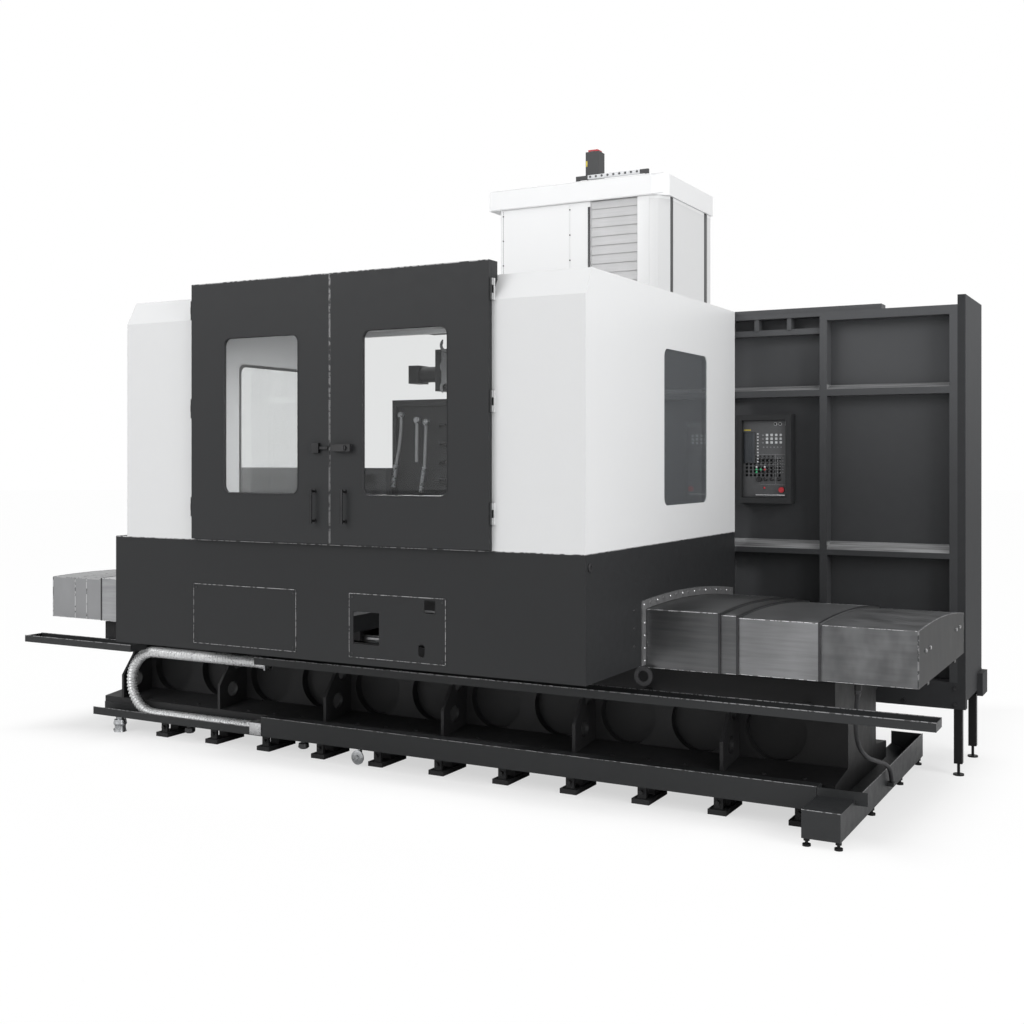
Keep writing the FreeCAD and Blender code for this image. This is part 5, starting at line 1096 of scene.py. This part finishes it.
class MACHINE_OT_covers(MachineOperator, bpy.types.Operator):
    """Wiper strips and rolled folds of the telescopic covers, rims and screws of the end boxes"""

    bl_idname = "machine.covers"
    bl_label = "Telescopic covers"

    # number, outer edge's distance from the middle, length, steps in from the first box
    BOXES = [("1", 2.525, 1.052, 0), ("2", 2.644, 0.560, 1), ("3", 3.184, 1.090, 2)]
    WIPER = 0.014
    LEFT_SEAMS = [-3.512, -3.370]

    def build(self, scene):
        for side, sign in (("right", 1), ("left", -1)):
            for number, edge, length, size in self.BOXES:
                name = f"{side}_cover_{number}"
                self.lip(name, sign, edge, size * COVER_STEP)
                self.folds(name, sign, edge, length, size * COVER_STEP)
            self.end_box(side, sign)

    def lip(self, name, sign, edge, inset):
        """Wiper strip that stands a little proud round the box's outer edge."""
        half = self.WIPER / 2
        bm = bmesh.new()
        add_swept(bm, cover_path(sign * (edge - half), inset),
                  [(-half, -0.001), (half, -0.001), (half, 0.0018), (-half, 0.0024)])
        close_piece(f"{name}_wiper", bm, "dark steel", name)

    def folds(self, name, sign, edge, length, inset):
        """Rolled beads along the top and bottom folds of the box, with painted highlight dashes."""
        x0, x1 = sorted((sign * (edge - length + 0.004), sign * (edge - self.WIPER - 0.002)))
        bm = bmesh.new()
        for depth in (COVER_FRONT + inset + 0.0015, COVER_BACK - inset - 0.0015):
            for z, radius in ((arch_height(depth, inset) - 0.0015, 0.0028), (COVER_FOOT + 0.002, 0.0026)):
                add_tube(bm, [at(x0, depth, z), at(x1, depth, z)], radius)
        close_piece(f"{name}_fold", bm, "steel highlight dashes", name)

    def end_box(self, side, sign):
        """Rim, long folds and screws of the fixed box, rim and folds with painted highlight dashes; the
        left one has two seams.
        """
        inset = 3 * COVER_STEP
        outer = sign * (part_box("end_covers")[1].x - 0.007)
        bm = bmesh.new()
        for x in [outer] + (self.LEFT_SEAMS if sign < 0 else []):
            add_swept(bm, cover_path(x, inset),
                      [(-0.008, -0.002), (0.0012, -0.002), (0.0012, 0.0015), (-0.008, 0.0015)])
        close_piece(f"{side}_end_rim", bm, "steel highlight dashes" if sign < 0 else "hem highlight dashes",
                    "base")
        x0, x1 = sorted((outer - sign * 0.6, outer - sign * 0.012))
        runs = []
        for depth in (COVER_FRONT + inset + 0.0024, COVER_BACK - inset - 0.0024):
            for z in (arch_height(depth, inset) - 0.0022, COVER_FOOT + 0.0024):
                runs.append([at(x0, depth, z), at(x1, depth, z)])
        tube_piece(f"{side}_end_edge", "steel highlight dashes", "base", 0.0028, runs)
        spots = [(at(sign * (END_PLATE + 0.0075), depth, CREST_HEIGHT - 0.195), (sign, 0, 0))
                 for depth in (1.187, 1.337, 2.310, 2.460)]
        heads(f"{side}_end_screws", spots, "base", 0.013, 0.005, "bright", False, 6)


class MACHINE_OT_seal_rivets(MachineOperator, bpy.types.Operator):
    """Domed rivets on the flanges round the cover openings, and the screws of the skirt's sides"""

    bl_idname = "machine.seal_rivets"
    bl_label = "Seal rivets"

    FLANGE_FACE = 2.002
    SKIRT_SIDE = 1.990
    ARCH_RIVETS = [0.905 + i * 0.242 for i in range(8)]
    SIDE_RIVETS = [1.005 + i * 0.086 for i in range(4)]

    def build(self, scene):
        spots = []
        for sign in (1, -1):
            face, way = sign * self.FLANGE_FACE, (sign, 0, 0)
            for depth in self.ARCH_RIVETS:
                away = (depth - CREST_DEPTH) ** 2 / (2 * ARCH_RADIUS)
                spots.append((at(face, depth, CREST_HEIGHT + 0.036 - away), way))
            for depth in (COVER_FRONT - 0.034, COVER_BACK + 0.034):
                spots += [(at(face, depth, z), way) for z in self.SIDE_RIVETS]
        heads("seal_rivets", spots, "saddle", scene.machine_detail.rivet, 0.0055, "bright", True, 12)
        spots = [(at(sign * self.SKIRT_SIDE, 0.760, z), (sign, 0, 0))
                 for sign in (1, -1) for z in (1.120, 1.240, 1.360)]
        heads("skirt_side_screws", spots, "saddle", 0.011, 0.004, "black plastic", True, 12)


class MACHINE_OT_doors(MachineOperator, bpy.types.Operator):
    """Window gaskets of the doors, and their edge strips with painted highlight dashes"""

    bl_idname = "machine.doors"
    bl_label = "Doors"

    def build(self, scene):
        for side in ("left", "right"):
            self.gasket(side, scene.machine_detail.gasket)
            self.meeting_edge(side)
            self.top_edge(side)

    def gasket(self, side, width):
        """Rubber seal from the pane to the door's face."""
        low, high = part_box(f"{side}_door_window")
        body = f"{side}_door"
        pane_face, face = low.y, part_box(body)[0].y
        section = [(-width, pane_face), (-width * 0.8, pane_face - 0.004), (-0.001, face - 0.0025),
                   (0.004, face - 0.0025), (0.004, face), (0.0, face + 0.002), (0.0, pane_face + 0.001)]
        bm = bmesh.new()
        add_swept(bm, rounded_path(low.x, high.x, 0, low.z, high.z, 0.060, 1), section, closed=True)
        close_piece(f"{side}_gasket", bm, "rubber", body)

    def meeting_edge(self, side):
        """Fold along the edge where the doors meet, with painted highlight dashes."""
        low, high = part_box(f"{side}_door")
        x0, x1 = (high.x - 0.0035, high.x) if side == "left" else (low.x, low.x + 0.0035)
        block_piece(f"{side}_edge", "paint highlight dashes", f"{side}_door", [
            ((x0, low.y - 0.0012, low.z + 0.004), (x1, low.y + 0.004, high.z - 0.004), 0.0012)])

    def top_edge(self, side):
        """Top edge of the door leaf, with painted highlight dashes."""
        low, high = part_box(f"{side}_door")
        y, z = low.y + 0.003, high.z - 0.003
        tube_piece(f"{side}_top_edge", "paint highlight dashes", f"{side}_door", 0.0042, [
            [(max(low.x, -1.187), y, z), (min(high.x, 1.325), y, z)]])


class MACHINE_OT_skirt(MachineOperator, bpy.types.Operator):
    """Edge fold, panel edges and screws, and grommet of the skirt"""

    bl_idname = "machine.skirt"
    bl_label = "Skirt"

    PANELS = [(-1.206, -0.250), (0.199, 0.981)]
    PANEL_LOW = 1.019
    PANEL_HIGH = 1.463

    def build(self, scene):
        low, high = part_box("skirt")
        self.top_fold(low, high)
        self.panel_edges()
        spots = [(at(x, 0, z), FORWARD) for x0, x1 in self.PANELS for x in (x0 + 0.03, x1 - 0.03)
                 for z in (self.PANEL_LOW + 0.03, self.PANEL_HIGH - 0.03)]
        heads("panel_screws", spots, "saddle", scene.machine_detail.screw, 0.003, "dark steel", False, 6)
        turned_piece("side_grommet", "rubber", "saddle", [at(high.x, 0.06, 1.700)], (1, 0, 0), [
            (-0.002, 0.030), (0.006, 0.030), (0.009, 0.026), (0.0095, 0.016), (0.004, 0.014)])

    def top_fold(self, low, high):
        """Rounded fold that catches the light along the skirt's upper edge."""
        sunk = 0.004
        z = high.z - 0.002
        left, right, front, back = low.x + sunk, high.x - sunk, low.y + sunk, high.y - sunk
        # the fold's bright dashes are painted highlights
        tube_piece("skirt_fold", "paint highlight dashes", "saddle", 0.0052, [
            [(left, front, z), (right, front, z)], [(right, front, z), (right, back, z)],
            [(left, front, z), (left, back, z)]])

    def panel_edges(self):
        """Thin pressed edge round each service panel, with painted highlight dashes."""
        sunk = 0.003
        bm = bmesh.new()
        for x0, x1 in self.PANELS:
            path = rounded_path(x0 + sunk, x1 - sunk, FRONT, self.PANEL_LOW + sunk,
                                self.PANEL_HIGH - sunk, 0.003, -1, 2)
            add_swept(bm, path, [(-0.0035, -0.001), (0.0, -0.001), (0.0, 0.0016), (-0.0035, 0.0022)],
                      closed=True)
        close_piece("panel_edges", bm, "paint highlight dashes", "saddle")


class MACHINE_OT_operator_panel(MachineOperator, bpy.types.Operator):
    """Operator panel: bezel, screen, key fields, lamps and dials"""

    bl_idname = "machine.operator_panel"
    bl_label = "Operator panel"

    # places are counted from the lower left corner of the recessed face
    # ends across, ends up, and how far the plate stands proud
    PLATES = [
        ("screen_bezel", "black plastic", 0.006, 0.108, 0.276, 0.532, 0.003),
        ("screen_glass", "screen", 0.012, 0.102, 0.282, 0.526, 0.0042),
        # the name strip's amber plastic glows: painted light
        ("name_strip", "amber plastic", 0.010, 0.068, 0.543, 0.551, 0.002),
        ("edge_light", "pale plastic", 0.354, 0.359, 0.580, 0.618, 0.002),
        ("rule_up", "grey plastic", 0.2725, 0.2755, 0.112, 0.350, 0.0012),
        ("rule_across", "grey plastic", 0.150, 0.350, 0.104, 0.107, 0.0012),
        ("rule_middle", "grey plastic", 0.100, 0.350, 0.268, 0.271, 0.0012),
        ("rule_top", "grey plastic", 0.100, 0.350, 0.348, 0.351, 0.0012),
        ("hand_rail", "bright", 0.112, 0.352, 0.018, 0.026, 0.010),
    ]
    # corner x and z, columns, rows, pitch across and up, side as a share of the key
    FIELDS = [
        ("keys_soft", "pale plastic", 0.121, 0.284, 1, 10, 0.020, 0.025, 0.62),
        ("keys_large", "pale plastic", 0.194, 0.436, 4, 3, 0.038, 0.030, 1.0),
        ("keys_edge", "grey plastic", 0.163, 0.438, 1, 3, 0.020, 0.030, 0.6),
        ("keys_row", "grey plastic", 0.170, 0.402, 6, 1, 0.029, 0.020, 0.55),
        ("keys_left", "black plastic", 0.108, 0.284, 5, 3, 0.034, 0.021, 0.72),
        ("keys_mid", "black plastic", 0.108, 0.196, 5, 3, 0.034, 0.023, 0.72),
        ("keys_right", "grey plastic", 0.286, 0.200, 3, 6, 0.022, 0.023, 0.5),
    ]
    LAMPS = [
        ("lamp_green", "green plastic", [(0.116, 0.227), (0.116, 0.205), (0.150, 0.227)]),
        ("lamp_red", "red plastic", [(0.184, 0.227), (0.182, 0.079)]),
        ("lamp_white", "pale plastic", [(0.184, 0.248), (0.116, 0.248)]),
    ]
    DIAL = [(0.0, 0.018), (0.004, 0.018), (0.006, 0.014), (0.018, 0.013), (0.020, 0.011)]
    SOCKET = [(0.0, 0.010), (0.006, 0.010), (0.007, 0.009)]

    def build(self, scene):
        low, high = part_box("control_panel")
        face = FRONT + WALL_FRONT + 0.039
        left, bottom = low.x + 0.041, low.z + 0.044
        right, top = high.x - 0.044, high.z - 0.044
        block_piece("panel_face", "panel grey", "base", [
            ((left + 0.004, face, bottom + 0.004), (right - 0.004, face + 0.003, top - 0.004), 0.001)])
        for name, material, x0, x1, z0, z1, proud in self.PLATES:
            block_piece(name, material, "base", [
                ((left + x0, face - proud, bottom + z0), (left + x1, face + 0.001, bottom + z1), 0.0008)])
        for name, material, x, z, columns, rows, across, up, share in self.FIELDS:
            side = scene.machine_detail.key * share
            corner = Vector((left + x, face - 0.006, bottom + z))
            bm = bmesh.new()
            add_block(bm, corner, corner + Vector((side, 0.007, side)), 0.0018)
            keys = grow("keys", mesh_of(name, bm), name, material, {
                "Columns": columns, "Rows": rows, "Pitch across": across, "Pitch up": up})
            new_piece(name, keys, "base")
        for name, material, places in self.LAMPS:
            spots = [(Vector((left + x, face - 0.004, bottom + z)), FORWARD) for x, z in places]
            heads(name, spots, "base", 0.0085, 0.004, material, True, 12)
        self.dials(left, bottom, face)

    def dials(self, left, bottom, face):
        """Row of small dials and the two round sockets with their pale rims."""
        sockets = [(left + x, face + 0.001, bottom + 0.594) for x in (0.273, 0.312)]
        bm = bmesh.new()
        for x in (0.192, 0.244, 0.303):
            add_turned(bm, (left + x, face + 0.001, bottom + 0.152), FORWARD, self.DIAL, 16)
        for centre in sockets:
            add_turned(bm, centre, FORWARD, self.SOCKET, 16)
        close_piece("panel_dials", bm, "black plastic", "base")
        turned_piece("socket_rims", "pale plastic", "base", sockets, FORWARD,
                     [(0.0, 0.014), (0.003, 0.014), (0.004, 0.013)], 16)


class MACHINE_OT_column(MachineOperator, bpy.types.Operator):
    """Screws, seals and latch of the column's housing, folds of its cap, cable bar and motor trim"""

    bl_idname = "machine.column"
    bl_label = "Column"

    def build(self, scene):
        screw = scene.machine_detail.screw
        spots = [(at(x, HOUSING_FRONT - 0.004, 4.990 - i * 0.265), FORWARD)
                 for x in (-1.297, -0.499) for i in range(14)]
        heads("housing_screws", spots, "column", screw * 0.9, 0.003, "dark steel", False, 8)
        self.cap(screw)
        self.cap_top()
        self.seals()

    def seals(self):
        """Dark seals in the gaps of the housing's plates, and the latch of its front plate."""
        face = HOUSING_FRONT
        block_piece("panel_seals", "dark steel", "column", [
            (at(0.5545, 5.055, 1.24), at(0.5568, 5.126, 5.057), 0.0004),
            (at(0.5545, 6.041, 1.24), at(0.5568, 6.143, 5.057), 0.0004),
            (at(-1.2985, face - 0.0046, 1.20), at(-1.2955, face - 0.0035, 5.045), 0.0003),
            (at(-0.2915, face - 0.006, 1.20), at(-0.2645, face + 0.001, 5.0), 0.001)])
        x = -0.47
        bm = bmesh.new()
        add_block(bm, at(x - 0.010, face - 0.010, 3.20), at(x + 0.010, face - 0.003, 3.30), 0.003)
        add_tube(bm, [at(x, face - 0.008, 3.215), at(x, face - 0.026, 3.225),
                      at(x, face - 0.026, 3.275), at(x, face - 0.008, 3.285)], 0.0045)
        close_piece("housing_latch", bm, "dark steel", "column")

    def cap(self, screw):
        """Screws on the cap and the folds along the edges of its front."""
        low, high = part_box("column_cap")
        y = low.y + 0.05
        spots = [(p, UP) for p in row((-0.46, y, high.z), (0.40, y, high.z), 7)]
        heads("cap_screws", spots, "column", screw * 1.2, 0.006, "dark steel", False, 8)
        block_piece("cap_folds", "white paint", "column", [
            ((low.x + 0.02, low.y - 0.0008, z0), (high.x - 0.02, low.y + 0.003, z1), 0.001)
            for z0, z1 in ((low.z + 0.004, low.z + 0.012), (high.z - 0.010, high.z - 0.006))])

    def cap_top(self):
        """White middle of the cable bar with its dark clips, and the motor's rim and plain tag."""
        low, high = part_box("column_motor")
        x0, x1 = low.x + 0.139, high.x - 0.095
        front = 5.1485
        block_piece("bar_sheath", "pale plastic", "column", [
            (at(x0, front, 5.3525), at(x1, 5.1815, 5.3975), 0.002)])
        spots = [(at(p.x, front, 5.378), FORWARD)
                 for p in row((x0 + 0.03, 0, 0), (x1 - 0.03, 0, 0), 9)]
        heads("bar_clips", spots, "column", 0.013, 0.004, "dark steel", False, 8)
        turned_piece("motor_rim", "dark steel", "column", [at(-0.387, 5.265, 5.646)],
                     UP, [(0.0, 0.074), (0.002, 0.078), (0.012, 0.078), (0.014, 0.074)], 28)
        # the tag's amber plastic glows: painted light
        block_piece("motor_tag", "amber plastic", "column", [
            (at(-0.460, 5.1875, 5.500), at(-0.442, 5.1895, 5.560), 0.0005)])


class MACHINE_OT_bolts(MachineOperator, bpy.types.Operator):
    """Bolts of the platform and the bed, and the small fittings of the tray"""

    bl_idname = "machine.bolts"
    bl_label = "Bolts"

    FOOT = [(0.0, 0.030), (0.020, 0.030), (0.024, 0.050), (0.060, 0.058), (0.078, 0.046),
            (0.100, 0.046), (0.1305, 0.054)]
    VALVE = [(0.0, 0.020), (0.006, 0.050), (0.012, 0.056), (0.022, 0.056), (0.026, 0.044),
             (0.027, 0.020), (0.036, 0.018)]
    KNOB = [(0.0, 0.022), (0.014, 0.022), (0.018, 0.040), (0.048, 0.044), (0.060, 0.030),
            (0.061, 0.010)]

    def build(self, scene):
        bolt = scene.machine_detail.bolt
        places = row((0.70, 0, 0), (3.70, 0, 0), 9) + row((-3.70, 0, 0), (-1.48, 0, 0), 7)
        spots = [(at(place.x, WALL_FRONT, z), FORWARD) for place in places for z in (0.535, 0.655)]
        heads("platform_bolts", spots, "base", bolt, 0.008, "dark steel", False, 6)
        pitch = 0.276
        spots = [(at(i * pitch, 1.150, 0.270), UP) for i in range(-11, 12)]
        heads("bed_bolts", spots, "base", bolt * 1.1, 0.014, "dark steel", False, 6)
        self.fittings()

    def fittings(self):
        """Levelling foot and drain valve at the front of the tray, and the knobs under it."""
        down = (0, 0, -1)
        bm = bmesh.new()
        add_turned(bm, at(-2.960, 0.985, TRAY_FLOOR), down, self.FOOT)
        add_block(bm, at(-0.414, 0.958, 0.058), at(-0.390, 0.990, TRAY_FLOOR), 0.004)
        add_turned(bm, at(-0.402, 0.960, 0.070), FORWARD, self.VALVE, 24)
        close_piece("tray_fittings", bm, "zinc", "base")
        turned_piece("tray_knobs", "dark steel", "base",
                     [at(x, 0.985, TRAY_FLOOR) for x in (-2.155, -0.956)], down, self.KNOB)


class MACHINE_OT_nozzles(MachineOperator, bpy.types.Operator):
    """Coolant tubes that hang in front of the tool changer box, with their bright ends"""

    bl_idname = "machine.nozzles"
    bl_label = "Coolant tubes"

    RUNS = (
        ((-1.320, 2.790), (-1.324, 2.640), (-1.349, 2.459), (-1.379, 2.317)),
        ((-1.143, 2.740), (-1.147, 2.540), (-1.149, 2.346)),
        ((-1.043, 2.720), (-1.052, 2.500), (-1.060, 2.299)),
    )
    ENDS = (((-1.379, 2.317), (-1.414, 2.109)), ((-1.060, 2.299), (-1.098, 2.065)))

    def build(self, scene):
        size = scene.machine_detail.tube
        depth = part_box("changer_housing")[0].y + 0.012
        tube_piece("changer_tubes", "grey plastic", "base", size,
                   [[(x, depth, z) for x, z in run] for run in self.RUNS], 12)
        collar = [(0.0, size * 1.5), (0.030, size * 1.5), (0.036, size * 2.0), (0.052, size * 2.0),
                  (0.056, size * 1.4)]
        bm = bmesh.new()
        for run in self.ENDS:
            add_tube(bm, [(x, depth, z) for x, z in run], size * 1.6, 16)
        for run in self.RUNS:
            x, z = run[0]
            add_turned(bm, (x, depth + 0.035, z), FORWARD, collar, 16)
        close_piece("changer_tube_ends", bm, "zinc", "base")


class MACHINE_OT_hems(MachineOperator, bpy.types.Operator):
    """Hems along the rims of the trays and troughs, with painted highlight dashes"""

    bl_idname = "machine.hems"
    bl_label = "Trough hems"

    TROUGH_RIM = 0.796
    TROUGH_SIDES = (0.792, 0.975)
    TROUGH_ENDS = ((-3.930, -2.640), (-1.300, 3.930))
    # x, depth and height of both ends: two lengths of the tray, side and nose of the end trough
    OTHERS = (
        ((-3.250, 0.953, 0.193), (-1.361, 0.953, 0.193)),
        ((-1.361, 0.953, 0.284), (3.165, 0.953, 0.284)),
        ((3.407, 0.960, 0.230), (3.407, 3.145, 0.230)),
        ((3.169, 0.591, 0.229), (3.410, 0.591, 0.229)),
    )

    def build(self, scene):
        runs = [((x0, depth, self.TROUGH_RIM), (x1, depth, self.TROUGH_RIM))
                for depth in self.TROUGH_SIDES for x0, x1 in self.TROUGH_ENDS]
        tube_piece("trough_hems", "hem highlight dashes", "base", 0.0036,
                   [[at(*start), at(*end)] for start, end in (*runs, *self.OTHERS)])


# ------------------------------------------------------------------ panel and running

OPERATORS = (
    MACHINE_OT_stage, MACHINE_OT_finishes, MACHINE_OT_drain_hose, MACHINE_OT_conduit,
    MACHINE_OT_way_covers, MACHINE_OT_covers, MACHINE_OT_seal_rivets, MACHINE_OT_doors,
    MACHINE_OT_skirt, MACHINE_OT_operator_panel, MACHINE_OT_column, MACHINE_OT_bolts,
    MACHINE_OT_nozzles, MACHINE_OT_hems,
)


class MACHINE_PT_panel(bpy.types.Panel):
    """Lists the machine's operators and settings"""

    bl_label = "Boring and milling centre"
    bl_idname = "MACHINE_PT_panel"
    bl_space_type = "VIEW_3D"
    bl_region_type = "UI"
    bl_category = "Machine"

    def draw(self, context):
        for operator in OPERATORS:
            self.layout.operator(operator.bl_idname)
        for settings in SETTINGS:
            box = self.layout.box()
            group = getattr(context.scene, settings)
            for name in type(group).__annotations__:
                box.prop(group, name)


SETTINGS = {
    "machine_finish": MachineFinishSettings,
    "machine_detail": MachineDetailSettings,
    "machine_stage": MachineStageSettings,
}
CLASSES = (*SETTINGS.values(), *OPERATORS, MACHINE_PT_panel)


def register():
    for cls in CLASSES:
        bpy.utils.register_class(cls)
    for name, group in SETTINGS.items():
        setattr(bpy.types.Scene, name, bpy.props.PointerProperty(type=group))


def unregister():
    for name in SETTINGS:
        delattr(bpy.types.Scene, name)
    for cls in reversed(CLASSES):
        bpy.utils.unregister_class(cls)


def main():
    register()
    for operator in OPERATORS:
        group, name = operator.bl_idname.split(".")
        getattr(getattr(bpy.ops, group), name)()


if __name__ == "__main__":
    main()
